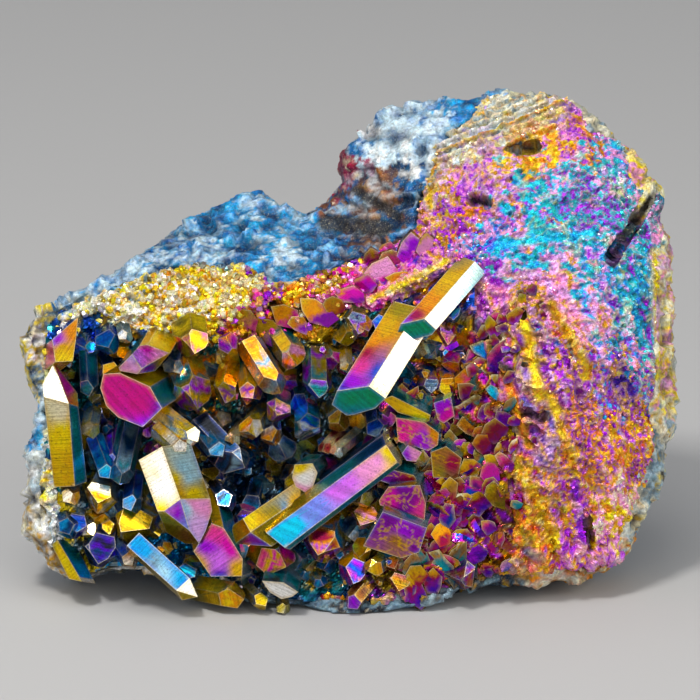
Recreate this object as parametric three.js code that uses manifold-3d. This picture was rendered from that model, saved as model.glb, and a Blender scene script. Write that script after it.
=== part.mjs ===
// A coated ("aura") quartz cluster: a lump of host rock, the massive quartz that grew on its front,
// and a hollow in that quartz lined with one crust of crystals. Millimetres, +Z up.
//
// The specimen is described in a leaning face frame: u runs to the right, v up the face, and w out of
// the face towards the front. LEAN is the angle by which that face leans back from the upright.
import * as THREE from "three";
import { mergeVertices } from "three/addons/utils/BufferGeometryUtils.js";
import Module from "manifold-3d";

// ---- driving dimensions ----

const LEAN = THREE.MathUtils.degToRad(18);
const BASE_DEPTH = 41.7; // from the middle of the face down to the plane it is cut off at
const CENTRE = [0, 14.9]; // middle of the footprint in X and Y, which becomes the origin
const GAP = 0.3; // between neighbouring solids
const CRUST_CLEARANCE = 0.8; // the crust's lowest point above the cut base
const FRONT_STEP = 5.2; // lattice steps of the front, the back and the inner surfaces
const BACK_STEP = 7;
const REACH = 7; // how far one depth reading reaches over the surface
const FRONT_ROUNDING = 9; // width of the rounded rim, front and back
const BACK_ROUNDING = 20;
const RIM_BAND = 1.2; // half the height of the bare rim between front and back
const LUMP = 1.1; // height and spacing of the rock's and the quartz's lumps
const LUMP_SPACING = 8;
const GRAIN = 0.55; // the same for the smaller lumps on them
const GRAIN_SPACING = 3.7;
const QUARTZ_SLOPE = 0.9; // how fast the quartz thickens from its edge, and how thick it gets
const QUARTZ_THICKNESS = 17;
const LINING = 2.6; // thickness of the crust's floor, which joins its crystals
const LINING_SLOPE = 0.8; // how fast the hollow deepens from its edge to take that floor
const BIG_CRYSTAL = 2.1; // radius from which a pointed crystal has six end facets, not three

// Outline of the face, clockwise from the left: u, v and the depth w of the rim there.
const OUTLINE = [
  [-54.5, 3.5, -5], [-53, 6, -7], [-49, 7.5, -9], [-44.5, 10, -10], [-38.5, 12.5, -12],
  [-33.5, 17, -17], [-31, 19.5, -20], [-23.5, 23.5, -24], [-19.5, 25.5, -26], [-15.5, 26.5, -26],
  [-12.5, 25, -26], [-10, 23, -26], [-7.5, 22.5, -26], [-4.5, 24, -26], [-3, 25.5, -25],
  [-1, 28, -24], [-1.5, 31, -24], [-1.5, 33.5, -24], [1, 35.5, -24], [4.5, 39.5, -24],
  [7.5, 41, -24], [11, 41.5, -24], [15, 42.5, -24], [18, 41.5, -24], [21, 42.5, -24],
  [26.5, 43, -24], [31.5, 43, -24], [34.5, 43, -23], [39.5, 41, -22], [40.5, 39.5, -22],
  [42.5, 37.5, -21], [46, 34.5, -20], [48.5, 31.5, -19], [50, 29, -18], [52.5, 26, -18],
  [52.5, 22, -17], [54, 18, -16], [53.5, 11.5, -15], [54.5, 0, -14], [54.5, -7.5, -13],
  [53.5, -15, -13], [52, -21.5, -12], [50, -25.5, -11], [48.5, -29, -11], [46.5, -34, -10],
  [42.5, -37, -9], [38, -38, -8], [34, -39, -7], [26, -39.2, -5], [18.5, -40, -3],
  [12.5, -42.5, -2], [9, -43, -1], [3.5, -44, 0], [-0.5, -45, 0], [-4.5, -43.5, 0],
  [-8.5, -42.5, 0], [-14, -42.2, -1], [-20, -41.5, -2], [-25, -39.5, -3], [-30, -38, -4],
  [-35, -37, -5], [-40, -37, -6], [-45, -39, -6], [-49.5, -36.5, -6], [-52, -33.5, -6],
  [-54, -31, -6], [-54.5, -27.5, -6], [-53.5, -21.5, -6], [-54, -17.5, -6], [-53, -13.5, -6],
  [-51.5, -8.5, -5], [-53.5, -6, -5], [-54.5, -2.5, -5],
];

// Edge of the massive quartz on the face, clockwise from the left. Outside it the rock shows.
const QUARTZ_EDGE = [
  [-50, 6], [-43, 8.5], [-37.5, 11.5], [-33, 12.8], [-28, 14.4], [-19, 14.6], [-16, 14],
  [-12, 9.5], [-8.5, 12], [-4, 13.5], [0, 15], [5, 18], [10.5, 21.5], [11.5, 27], [13, 32.5],
  [15, 36], [21, 38.5], [30, 41.6], [34.5, 42.4], [39.2, 40.6], [42, 37], [45.5, 34], [48, 31],
  [49.4, 28.5], [50.5, 25], [51.5, 18], [51.5, 8], [52, -2], [51, -14], [49, -22], [46.6, -29],
  [44.5, -34], [41, -36.6], [33, -38.2], [25, -38.4], [17, -39.2], [10, -41.4], [2, -42.5],
  [-8, -41.6], [-20, -40], [-30, -36.5], [-40, -35.5], [-46, -37.5], [-49, -33], [-50.5, -24],
  [-50.5, -10], [-51, -2],
];

// Edge of the hollow, which the crust of crystals lines.
const HOLLOW_EDGE = [
  [-50, 4], [-46, 6.4], [-42, 5], [-38, 3.6], [-31, 2.6], [-24, 1.4], [-17, -0.4], [-12, 2.4],
  [-6, 2.6], [-1, 6], [3.5, 7], [10, 9.6], [16, 12.4], [20, 9.4], [20, 3], [23, -2], [26, -9],
  [27, -16], [26, -24], [27, -32], [24, -37], [15, -38.6], [4, -41.5], [-6, -41.4], [-14, -40.6],
  [-22, -39.6], [-30, -36.6], [-38, -35.6], [-45, -37], [-48.2, -32], [-48.2, -25], [-50, -18],
  [-50.4, -6],
];

// Depth w of the front surface at a point u, v of the face.
const FRONT = [
  [-52, 4, -2], [-51, -4, -3], [-52, -12, -4], [-51, -23, 0.5], [-51, -29, 1], [-47, -35, -4],
  [-46, 8, -8], [-38, 9, -4], [-38, 5, -2], [-30, 11, -6], [-30, 5, -1], [-22, 12, -7],
  [-20, 6, -1], [-13, 12, -8], [-12, 6, -3], [-4, 9, 1], [-3, 14, -5], [-28, 17, -16],
  [-20, 21, -19], [-10, 19, -17], [-3, 20, -20], [3, 21, -17], [8, 14, -4], [12, 18, -6],
  [3, 27, -19], [2, 33, -18], [8, 38, -19], [8, 30, -13], [9, 24, -12], [15, 40, -20],
  [16, 33, -10], [22, 37, -11], [30, 39, -13], [38, 38, -13], [44, 31, -10], [24, 28, -6],
  [33, 30, -5], [40, 22, -3], [48, 20, -8], [22, 18, -2], [30, 16, 1], [40, 10, 3], [49, 6, -4],
  [20, 8, 0], [28, 5, 3.5], [36, -4, 6], [46, -8, 1], [50, -12, -5], [26, -8, 3.5], [32, -16, 6],
  [40, -20, 4], [47, -24, -4], [30, -28, 4], [38, -32, 0], [26, -36, 1], [20, -26, 1],
  [18, -36, 0], [10, -30, 0], [8, -38, 0], [14, -14, -1], [14, -2, -3], [4, -20, -4],
  [0, -34, -2], [-10, -38, -2], [-8, -26, -5], [-4, -10, -7], [-10, -4, -8], [-16, -16, -8],
  [-24, -6, -8], [-24, -30, -4], [-30, -20, -7], [-36, -8, -7], [-40, -20, -9], [-42, -32, -7],
  [-36, -33, -5], [-44, 0, -8], [2, 2, -6], [-20, -36, -3],
];

// Depth w of the back surface.
const BACK = [
  [-48, 0, -27], [-45, -28, -30], [-34, 10, -34], [-22, 18, -38], [-20, -10, -42], [-4, 18, -41],
  [-4, -20, -46], [6, 34, -37], [10, 5, -47], [20, -25, -45], [24, 25, -43], [32, 36, -37],
  [36, -5, -46], [40, -28, -38], [48, 10, -36],
];

// Faceted crystals of the crust that are shaped one by one. Each is: name; the way back to its root;
// its thickness; its planes; its corners. Three letters make a facet through three corners, two
// letters a wall through two corners along the root, and "|" a wall through them along w. "=" gives a
// facet a parallel partner at the crystal's thickness.
const CRYSTALS = [
  ["long_prism", [0.6, 1.6, -8], 0, "abc abe cdg fe bc gh ad",
    [[-13.9, -30.3, 6.6], [6, -15.7, 6.2], [7.9, -18.6, 6.2], [-10.8, -32.8, 6.6],
      [5.4, -14, 3.6], [-14.2, -28.6, 4], [8.2, -19.3, 5], [-10.4, -33.5, 5.4]]],
  ["green_tip_low", [8.6, 13.8, -7.6], 6.5, "abc= abd= acd ce ef fg gh hd",
    [[3.2, -6, 7.4], [7.6, 1, 3.5], [-2.2, -6.8, 5.6], [5.9, -8, 6.6], [-3.3, -9.8, 3.2],
      [-2.6, -11, 2.5], [0.5, -10.8, 3.4], [4.2, -9.7, 5]]],
  ["green_tip_high", [8.8, 10, -4.8], 6, "abc= abd= acd ce ef fg gd",
    [[12.4, 5.2, 4.4], [16.8, 10.2, 2], [8.4, 4.3, 2.9], [14.3, 3.4, 3.7], [7.7, 2.4, 1.5],
      [8.3, 1.1, 0.9], [13.6, 2.5, 3]]],
  ["magenta_face", [5, 3.2, -13], 0, "adf ab bc cd de ef fg gh ha",
    [[-41, -4, 3.7], [-38.3, -3.8, 3.9], [-33.2, -6.1, 4.3], [-31.2, -9.7, 4.6],
      [-34.4, -12.8, 4.5], [-38.5, -11.2, 4.2], [-40.5, -9.3, 4], [-41.5, -6.3, 3.8]]],
  ["pink_pair", [2, 4, -10], 0, "abc abe bfg cj ah hi ie fg kl lc",
    [[-36.2, -0.7, 5], [-34.6, -3.1, 5], [-38.5, -2.7, 4], [-37, -4, 3], [-30.3, -0.4, 3.6],
      [-30.2, -0.9, 3.3], [-32.7, -3.8, 2.6], [-34.9, 0.8, 4.4], [-33.6, 0.9, 4.1],
      [-37.8, -1.5, 4.2], [-35.4, -3.9, 4.4], [-38.2, -3.4, 3.8]]],
  ["white_prism", [-3.1, 8.5, -3.4], 7.5, "abd= abg= adi agi dif eh| gj jk| kl",
    [[-28.1, -24.7, 8], [-30.4, -18.3, 5.5], [-33.1, -20.3, 4.1], [-30.8, -26.7, 6.6],
      [-32, -26.5, 5.6], [-30.5, -30.3, 3], [-23.2, -24.6, 6], [-34.1, -21, 3.6],
      [-26.6, -30, 5.5], [-22.9, -26.7, 5], [-23.9, -29.8, 4.4], [-26.8, -31.8, 3]]],
  ["blue_prism", [-6.6, 5.9, -1.6], 6, "abd= bde= abf bef ac| e| ef| af|",
    [[-26.6, -37.9, 5], [-28.8, -39.9, 5.6], [-32, -33.1, 3.9], [-37, -32.6, 3.9],
      [-27.9, -41.6, 3.6], [-25.3, -41, 4.6]]],
  ["violet_face", [-2, 8, -10], 0, "abd ab bc cd de ef fa",
    [[-26, -33.5, 3], [-23, -28.8, 4], [-21, -29.4, 4.6], [-17.8, -34.6, 6], [-17.9, -37.5, 6],
      [-23, -38, 4.6]]],
  ["tall_prism", [1.3, -12, -2.4], 5, "abc= be= abd bde a| e|",
    [[-50.9, -7.8, 3.7], [-46.7, -8.9, 4.6], [-47.9, -21.5, 2.2], [-48.7, -4, 1.4],
      [-45.2, -9.4, 2.6]]],
  ["top_left_face", [-3, -2, -10], 0, "abd ab bc cd de ea",
    [[-45.2, 5.6, -1], [-45.6, 2, 1.5], [-46.4, -2.2, 2.5], [-49, -2, 2.5], [-49.3, 2, 0.5]]],
  ["yellow_prism", [-2.6, 5, -2.2], 5, "abc= abd= de c| ce| e|",
    [[-45.2, -37.6, 0], [-48.3, -31.3, -1.6], [-46.9, -38.2, -1.2], [-44.6, -38, -0.4],
      [-42.5, -39, -2]]],
  ["violet_end", [10.4, 7, -3.4], 5, "abe= acd ace abd= e| cd",
    [[-16.5, -30.2, 6.8], [-8.5, -24.8, 4.2], [-19, -32.2, 4.2], [-13, -32.6, 5.2],
      [-17.8, -28, 4.4]]],
];

// Flat plates: crystals seen end on. Each is: name; root; a facet's depth w at its middle and its
// slopes along u and v; the corners u, v of the facet.
const PLATES = [
  ["cream_end", [2, 1.5, -8], [4.6, -0.25, 0.2],
    [[-9.2, -19], [-6.2, -18.8], [-5.4, -20.4], [-6.1, -22.6], [-7.4, -23.7], [-9, -22.7],
      [-9.6, -21.2]]],
  ["white_end", [1, 4, -8], [4, 0.1, 0.5],
    [[-14.6, -38.3], [-11, -38.6], [-8.6, -40.2], [-9.6, -41], [-11.4, -41.4], [-13.4, -40.2]]],
  ["purple_plate_high", [1, 3, -7], [3, 0.1, 0.35],
    [[4.6, -21.6], [7, -19.9], [10.6, -20.8], [11.4, -22.2], [7, -22.4]]],
  ["purple_plate", [1, 3, -7], [4, 0.15, 0.3],
    [[4.8, -25], [6.4, -22.7], [11.6, -22.4], [12.6, -25.5], [12.4, -28.3], [5, -25.8]]],
  ["purple_plate_low", [1, 4, -7], [4.2, 0.1, 0.3],
    [[2.2, -32.6], [5.4, -26.8], [12.8, -29.5], [11.5, -33.6], [8.5, -34.6]]],
  ["mauve_plate", [1, 2, -7], [2.4, 0.2, 0.25],
    [[7.6, -11.2], [12.4, -12], [14.8, -13.8], [14.6, -15.8], [13, -16.8], [8, -15.2]]],
  ["violet_plate", [1, 2, -6], [2.2, -0.1, 0.2],
    [[13.9, -8.8], [16.8, -7.8], [17.4, -11], [15.6, -12.2], [14.6, -11.6]]],
  ["brown_plate", [1, 3, -6], [2.2, -0.2, 0.2],
    [[13.4, -17], [16, -16], [18.6, -18], [18, -21.4], [13.8, -21.2]]],
  ["pink_cube", [-1, 2, -5], [2.6, -0.3, 0.3],
    [[8.6, -17.2], [9.6, -15.8], [12, -17], [11, -18.6], [9.4, -18.4]]],
  ["gold_bar", [1, 3, -6], [1.6, 0, 0.3],
    [[5.4, -8.2], [7, -7.6], [13.4, -10.8], [13.2, -12], [8, -10.4]]],
];

// Six-sided crystals with pointed ends. Each is: tip; root; radius; turn about its axis in degrees.
const POINTS = [
  [[-24.6, -11, 1.5], [-28.6, -1, -7], 3.6, 10], [[-25.2, -15.6, 3.8], [-32, -10.4, -1], 1.9, 0],
  [[-27.2, -17.2, 4.2], [-32, -13, 0], 1.7, 25], [[-38.6, -22.5, 1], [-36.6, -12, -5], 1.9, 5],
  [[-39.8, -21.6, 2], [-42.6, -15, -5], 1.6, 20], [[-42.6, -26.4, 3.6], [-40.6, -22, -7], 2.7, 15],
  [[-38.4, -30.6, 3.4], [-33.6, -28, -7], 3.3, 0], [[-42, -36.5, 2], [-41, -29, -8], 3.2, 12],
  [[-16.6, -41.4, 3.4], [-27, -39.6, -5], 2.3, 25], [[-14, -42.6, 2.6], [-18, -39, -4], 1.4, 0],
  [[-9.6, -37.6, 4.6], [-16, -31, -5], 3, 0], [[-5.8, -35, 5], [-3, -28, -6], 3.3, 14],
  [[0, -39.6, 4], [0.8, -32, -5], 2.3, 0], [[-0.6, -43, 2.4], [5.6, -36, -4], 1.5, 20],
  [[8, -41.4, 2.4], [8, -35, -5], 2.2, 10], [[1, -30.4, 4.4], [4, -26, -5], 2.9, 5],
  [[1.6, -25.4, 3.4], [3, -22.6, -4], 1.7, 15], [[7.6, -36.6, 3], [5.6, -32, -4], 1.6, 0],
  [[-5.4, -9.4, 2.2], [-5.6, -0.6, -5], 2.4, 20], [[-25.8, -2.2, 2.6], [-26.6, 4, -4], 3.1, 10],
  [[-11.2, -8.2, 2.4], [-17, 1, -3], 2.1, 12], [[-21.4, -9.6, 1.6], [-19.6, -2, -7], 2.1, 0],
  [[-16.2, -8.4, 1.2], [-17.4, -2, -7], 1.9, 20], [[-12, -11.6, 2], [-12, -8, -6], 2.3, 0],
  [[-21.2, -18, 2.4], [-25, -13.2, -4], 1.7, 15], [[-13, -15.4, 1], [-13.6, -11.6, -6], 1.9, 0],
  [[-16.4, -21.4, 1.4], [-25, -12.5, -5], 2.9, 10], [[-10, -18.4, 0.6], [-13, -14, -7], 2.4, 0],
  [[-20, -26, 1.4], [-22.6, -23, -7], 1.9, 5], [[-40.4, 0.4, 0], [-40.6, 3, -7], 2, 0],
  [[-43.4, -14.4, 0.6], [-43, -10.6, -6], 1.5, 0], [[0.8, 1.8, 1], [1, 6, -5], 2.4, 10],
  [[-36.4, -27, 1], [-36, -21.4, -7], 1.8, 0], [[-46.6, -25.6, 1.6], [-46.6, -20.6, -6], 1.5, 10],
  [[-43.6, -8, -1], [-44.4, 2, -7], 1.7, 0], [[-29.4, -3.8, 0.6], [-29, 0, -6], 1.7, 20],
  [[-7.4, -14.4, 1], [-7.4, -10, -10], 2.3, 0], [[-1.6, -12.4, 2], [-3, -9, -9], 2, 10],
  [[-46.6, -31, 2], [-48, -27, -5], 1.8, 0], [[-20.6, 2.4, 1], [-19.6, -2, -7], 1.8, 0],
  [[-8.2, -3.2, 2], [-11.8, 2.2, -5], 2.2, 15], [[4.6, -14.6, 1.6], [4, -10.6, -5], 1.8, 0],
  [[-36, -36, 2.4], [-39, -32, -5], 1.5, 10],
];

// Ridges (height over 0) and grooves (under 0) of the quartz: two ends u, v; width; height.
const WEDGES = [
  [[28.8, 6], [31.2, -6], 2.4, 1.3], [[33.6, 7.4], [38.4, -0.6], 2.4, 1.3],
  [[14.5, 33.8], [30.5, 40.4], 2.6, 1.4], [[3.4, 8], [16.4, 14.4], 1.6, 1.3],
  [[50.4, 25.6], [43.6, 15.8], 2.4, -5], [[26.6, 33.4], [31.8, 34.6], 2.2, -1.8],
  [[39.5, -27.6], [40.2, -33], 1.4, -2.6], [[29, -10.4], [33, -11.2], 2, -1.8],
  [[26.4, 5], [29.2, 6.2], 1.6, -2], [[-13, 7.4], [-9.4, 3.4], 1.6, -3],
];

// Seeded fill of small crystals between them.
const FILL_STEP = 11;
const FILL_SEED = 12;

const LETTERS = "abcdefghijklmnop"; // names of a crystal's corners, in their order

// ---- helpers ----

const wasm = await Module();
wasm.setup();

/** Park and Miller's generator, so that every build draws the same numbers. */
function generator(seed) {
  let state = seed;
  return () => {
    state = (state * 16807) % 2147483647;
    return state / 2147483647;
  };
}

/** From the leaning face frame to the part's own frame. */
const FACE_TO_PART = new THREE.Matrix4().set(
  1, 0, 0, -CENTRE[0],
  0, Math.sin(LEAN), -Math.cos(LEAN), -CENTRE[1],
  0, Math.cos(LEAN), Math.sin(LEAN), BASE_DEPTH,
  0, 0, 0, 1,
);

/** A smooth surface w(u, v) through depth readings, each felt over REACH. */
function surface(readings) {
  return (u, v) => {
    let sum = 0;
    let total = 0;
    for (const [x, y, w] of readings) {
      const weight = Math.exp(-((u - x) ** 2 + (v - y) ** 2) / (REACH * REACH)) + 1e-9;
      sum += weight * w;
      total += weight;
    }
    return sum / total;
  };
}

/** Distance from a point to a closed outline, positive inside, and the nearest corner's depth. */
function inside(outline, u, v) {
  let nearest = Infinity;
  let depth = 0;
  let within = false;
  outline.forEach(([ax, ay, aw], i) => {
    const [bx, by, bw] = outline[(i + 1) % outline.length];
    const along = ((u - ax) * (bx - ax) + (v - ay) * (by - ay)) / ((bx - ax) ** 2 + (by - ay) ** 2);
    const t = THREE.MathUtils.clamp(along, 0, 1);
    const distance = Math.hypot(u - ax - t * (bx - ax), v - ay - t * (by - ay));
    if (distance < nearest) {
      nearest = distance;
      depth = aw + t * (bw - aw);
    }
    if (ay > v !== by > v && u < ax + ((v - ay) / (by - ay)) * (bx - ax)) within = !within;
  });
  return [within ? nearest : -nearest, depth];
}

/** Smooth noise in the range -1 to 1 with one lump per unit. */
function noise(x, y) {
  const cell = (i, j) => {
    const s = Math.sin(i * 127.1 + j * 311.7) * 4375.85;
    return 2 * (s - Math.floor(s)) - 1;
  };
  const [i, j] = [Math.floor(x), Math.floor(y)];
  const [s, t] = [x - i, y - j].map((f) => f * f * (3 - 2 * f));
  const low = cell(i, j) * (1 - s) + cell(i + 1, j) * s;
  const high = cell(i, j + 1) * (1 - s) + cell(i + 1, j + 1) * s;
  return low * (1 - t) + high * t;
}

/** A closed mesh in the face frame becomes a solid in the part's frame. */
function solid(vertices, triangles) {
  const vertProperties = new Float32Array(vertices.length * 3);
  vertices.forEach((vertex, i) => {
    new THREE.Vector3(...vertex).applyMatrix4(FACE_TO_PART).toArray(vertProperties, 3 * i);
  });
  const mesh = new wasm.Mesh({
    numProp: 3,
    vertProperties,
    triVerts: new Uint32Array(triangles.flat()),
  });
  return new wasm.Manifold(mesh);
}

/** A block under (side -1) or over (side 1) the surface w(u, v), on a lattice. */
function terrain(height, step, side) {
  const [halfU, halfV] = [60, 50];
  const [across, up] = [Math.round((2 * halfU) / step), Math.round((2 * halfV) / step)];
  const vertices = [];
  const far = side * 90;
  for (const layer of [0, 1]) {
    for (let j = 0; j <= up; j++) {
      for (let i = 0; i <= across; i++) {
        const u = -halfU + (i * 2 * halfU) / across;
        const v = -halfV + (j * 2 * halfV) / up;
        vertices.push([u, v, layer ? far : height(u, v)]);
      }
    }
  }
  const at = (i, j, layer) => layer * (across + 1) * (up + 1) + j * (across + 1) + i;
  const triangles = [];
  const quad = (a, b, c, d) => triangles.push([a, b, c], [a, c, d]);
  for (let j = 0; j < up; j++) {
    for (let i = 0; i < across; i++) {
      quad(at(i, j, 0), at(i + 1, j, 0), at(i + 1, j + 1, 0), at(i, j + 1, 0));
      quad(at(i, j, 1), at(i, j + 1, 1), at(i + 1, j + 1, 1), at(i + 1, j, 1));
    }
  }
  for (let i = 0; i < across; i++) {
    quad(at(i, 0, 0), at(i, 0, 1), at(i + 1, 0, 1), at(i + 1, 0, 0));
    quad(at(i + 1, up, 0), at(i + 1, up, 1), at(i, up, 1), at(i, up, 0));
  }
  for (let j = 0; j < up; j++) {
    quad(at(0, j + 1, 0), at(0, j + 1, 1), at(0, j, 1), at(0, j, 0));
    quad(at(across, j, 0), at(across, j, 1), at(across, j + 1, 1), at(across, j + 1, 0));
  }
  if (side > 0) triangles.forEach((triangle) => triangle.reverse());
  return solid(vertices, triangles);
}

/** A vertical wall of material inside an outline of u, v, moved outwards by a margin. */
function column(outline, margin) {
  const moved = outline.map(([u, v], i) => {
    const [pu, pv] = outline[(i + outline.length - 1) % outline.length];
    const [nu, nv] = outline[(i + 1) % outline.length];
    const length = Math.hypot(nu - pu, nv - pv);
    return new THREE.Vector2(u - (margin * (nv - pv)) / length, v + (margin * (nu - pu)) / length);
  });
  const shape = new THREE.Shape(moved);
  const geometry = new THREE.ExtrudeGeometry(shape, { depth: 160, bevelEnabled: false });
  geometry.translate(0, 0, -90);
  geometry.deleteAttribute("normal");
  geometry.deleteAttribute("uv");
  const merged = mergeVertices(geometry, 1e-3);
  const position = merged.attributes.position;
  const vertices = [];
  for (let i = 0; i < position.count; i++) {
    vertices.push([position.getX(i), position.getY(i), position.getZ(i)]);
  }
  const triangles = [];
  for (let i = 0; i < merged.index.count; i += 3) {
    triangles.push([0, 1, 2].map((k) => merged.index.getX(i + k)));
  }
  return solid(vertices, triangles);
}

/** The convex solid behind all of the planes [normal, distance]. */
function gem(planes) {
  const corners = [];
  const members = planes.map(() => []);
  for (let i = 0; i < planes.length; i++) {
    for (let j = i + 1; j < planes.length; j++) {
      for (let k = j + 1; k < planes.length; k++) {
        const [a, b, c] = [i, j, k].map((n) => planes[n][0]);
        const bc = b.clone().cross(c);
        const det = a.dot(bc);
        if (Math.abs(det) < 1e-4) continue;
        const point = bc
          .multiplyScalar(planes[i][1])
          .addScaledVector(c.clone().cross(a), planes[j][1])
          .addScaledVector(a.clone().cross(b), planes[k][1])
          .divideScalar(det);
        if (planes.some(([normal, distance]) => normal.dot(point) > distance + 1e-3)) continue;
        let index = corners.findIndex((corner) => corner.distanceTo(point) < 0.05);
        if (index < 0) index = corners.push(point) - 1;
        for (const plane of [i, j, k]) {
          if (!members[plane].includes(index)) members[plane].push(index);
        }
      }
    }
  }
  const triangles = [];
  members.forEach((ring, plane) => {
    if (ring.length < 3) return;
    const normal = planes[plane][0];
    const middle = new THREE.Vector3();
    ring.forEach((index) => middle.addScaledVector(corners[index], 1 / ring.length));
    const right = corners[ring[0]].clone().sub(middle).normalize();
    const up = normal.clone().cross(right);
    const angle = (index) => {
      const arm = corners[index].clone().sub(middle);
      return Math.atan2(arm.dot(up), arm.dot(right));
    };
    ring.sort((p, q) => angle(p) - angle(q));
    for (let n = 1; n + 1 < ring.length; n++) triangles.push([ring[0], ring[n], ring[n + 1]]);
  });
  return solid(corners.map((corner) => corner.toArray()), triangles);
}

/** A plane through three points that faces away from the middle. */
function facet(p, q, r, middle) {
  const normal = q.clone().sub(p).cross(r.clone().sub(p)).normalize();
  if (normal.dot(middle.clone().sub(p)) > 0) normal.negate();
  return [normal, normal.dot(p)];
}

/** A crystal from the CRYSTALS list. */
function shapedCrystal([, way, thickness, recipe, corners]) {
  const root = new THREE.Vector3(...way);
  const points = corners.map((corner) => new THREE.Vector3(...corner));
  const middle = new THREE.Vector3();
  points.forEach((point) => middle.addScaledVector(point, 1 / points.length));
  middle.addScaledVector(root, 0.2);
  const planes = [[root.clone().normalize(), 0]];
  planes[0][1] = planes[0][0].dot(middle) + 0.8 * root.length();
  for (const word of recipe.split(" ")) {
    const [p, q, r] = [...word]
      .filter((letter) => LETTERS.includes(letter))
      .map((letter) => points[LETTERS.indexOf(letter)]);
    const second = q ?? p.clone().add(root);
    const along = word.includes("|") ? new THREE.Vector3(0, 0, -1) : root;
    const plane = facet(p, second, r ?? p.clone().add(along), middle);
    planes.push(plane);
    if (word.includes("=")) planes.push([plane[0].clone().negate(), thickness - plane[1]]);
  }
  return gem(planes);
}

/** A crystal from the PLATES list. */
function plateCrystal([, way, [depth, slopeU, slopeV], corners]) {
  const [cu, cv] = [0, 1].map((k) => corners.reduce((sum, c) => sum + c[k], 0) / corners.length);
  const points = corners.map(([u, v]) => [u, v, depth + slopeU * (u - cu) + slopeV * (v - cv)]);
  const letters = LETTERS.slice(0, points.length);
  const walls = [...letters].map((letter, i) => letter + letters[(i + 1) % letters.length]);
  return shapedCrystal(["", way, 0, ["ace", ...walls].join(" "), points]);
}

/** A six-sided crystal with a pointed end whose facets reach unequally far. */
function pointedCrystal(tip, root, radius, turn, random) {
  const end = new THREE.Vector3(...tip);
  const axis = end.clone().sub(new THREE.Vector3(...root)).normalize();
  const side = new THREE.Vector3(0, 1, 0).cross(axis).normalize();
  const other = axis.clone().cross(side);
  const planes = [[axis.clone().negate(), -axis.dot(new THREE.Vector3(...root))]];
  const pitch = THREE.MathUtils.degToRad(52);
  for (let k = 0; k < 6; k++) {
    const angle = THREE.MathUtils.degToRad(turn) + (k * Math.PI) / 3;
    const out = side.clone().multiplyScalar(Math.cos(angle)).addScaledVector(other, Math.sin(angle));
    const middle = end.clone().addScaledVector(axis, -radius);
    const reach = radius * (0.8 + 0.25 * random());
    planes.push([out, out.dot(middle) + reach]);
    if (k % 2 && radius < BIG_CRYSTAL) continue;
    const slope = axis.clone().multiplyScalar(Math.cos(pitch)).addScaledVector(out, Math.sin(pitch));
    const drop = k % 2 ? 0.2 + 0.4 * random() : 0.2 * random();
    planes.push([slope, slope.dot(end) - radius * drop]);
  }
  return gem(planes);
}

/** A ridge over the face, or the wedge that cuts a groove into it. */
function wedge([[startU, startV], [endU, endV], width, height], margin) {
  const crest = height + margin;
  const p = new THREE.Vector3(startU, startV, face(startU, startV) + crest);
  const q = new THREE.Vector3(endU, endV, face(endU, endV) + crest);
  const along = q.clone().sub(p).normalize();
  const across = along.clone().cross(new THREE.Vector3(0, 0, 1)).normalize();
  const half = width / 2 + margin;
  const foot = (point, direction) =>
    point.clone().addScaledVector(direction, half).add(new THREE.Vector3(0, 0, -crest));
  const middle = p.clone().lerp(q, 0.5).add(new THREE.Vector3(0, 0, -crest));
  const back = along.clone().negate();
  const closing = new THREE.Vector3(0, 0, -Math.sign(height));
  return gem([
    facet(p, q, foot(p, across), middle),
    facet(p, q, foot(p, across.clone().negate()), middle),
    facet(p, p.clone().add(across), foot(p, back), middle),
    facet(q, q.clone().add(across), foot(q, along), middle),
    [closing, closing.dot(middle) + 2 * Math.abs(height) + 2],
  ]);
}

// ---- surfaces ----

const frontReadings = surface(FRONT);
const backReadings = surface(BACK);

/** How full the body is at a distance from its rim: 0 at the rim, 1 from the rounding inwards. */
function fullness(distance, rounding) {
  const t = THREE.MathUtils.clamp(1 - distance / rounding, 0, 1);
  return Math.sqrt(1 - t * t);
}

/** The front of the whole specimen, with the hollow's crust but without its crystals. */
function face(u, v) {
  const [distance, rim] = inside(OUTLINE, u, v);
  const lump = LUMP * noise(u / LUMP_SPACING + 3, v / LUMP_SPACING);
  const grain = GRAIN * noise(u / GRAIN_SPACING, v / GRAIN_SPACING + 5);
  const open = frontReadings(u, v) + lump + grain;
  return rim + RIM_BAND + (open - rim - RIM_BAND) * fullness(distance, FRONT_ROUNDING);
}

/** The front of rock and quartz, which dips in the hollow to take the crust. */
function front(u, v) {
  const [distance] = inside(HOLLOW_EDGE, u, v);
  return face(u, v) - THREE.MathUtils.clamp(LINING_SLOPE * distance, 0, LINING + GAP);
}

/** The back of the rock. */
function back(u, v) {
  const [distance, rim] = inside(OUTLINE, u, v);
  const lump = 2.4 * LUMP * noise(u / LUMP_SPACING / 1.6, v / LUMP_SPACING / 1.6 + 7);
  const open = backReadings(u, v) + lump;
  return rim - RIM_BAND + (open - rim + RIM_BAND) * fullness(distance, BACK_ROUNDING);
}

/** The inner surface between quartz and rock. */
function seam(u, v) {
  const [distance] = inside(QUARTZ_EDGE, u, v);
  const thickness = THREE.MathUtils.clamp(QUARTZ_SLOPE * distance, -6, QUARTZ_THICKNESS);
  return front(u, v) - thickness;
}

// ---- solids ----

/** Everything above a height over the cut base. */
function above(height) {
  const geometry = new THREE.BoxGeometry(200, 200, 200).translate(0, 0, 100 + height);
  geometry.deleteAttribute("normal");
  geometry.deleteAttribute("uv");
  const box = mergeVertices(geometry, 1e-3);
  return new wasm.Manifold(
    new wasm.Mesh({
      numProp: 3,
      vertProperties: new Float32Array(box.attributes.position.array),
      triVerts: new Uint32Array(box.index.array),
    }),
  );
}

const largest = (made) =>
  made.decompose().reduce((best, piece) => (piece.volume() > best.volume() ? piece : best));

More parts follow.
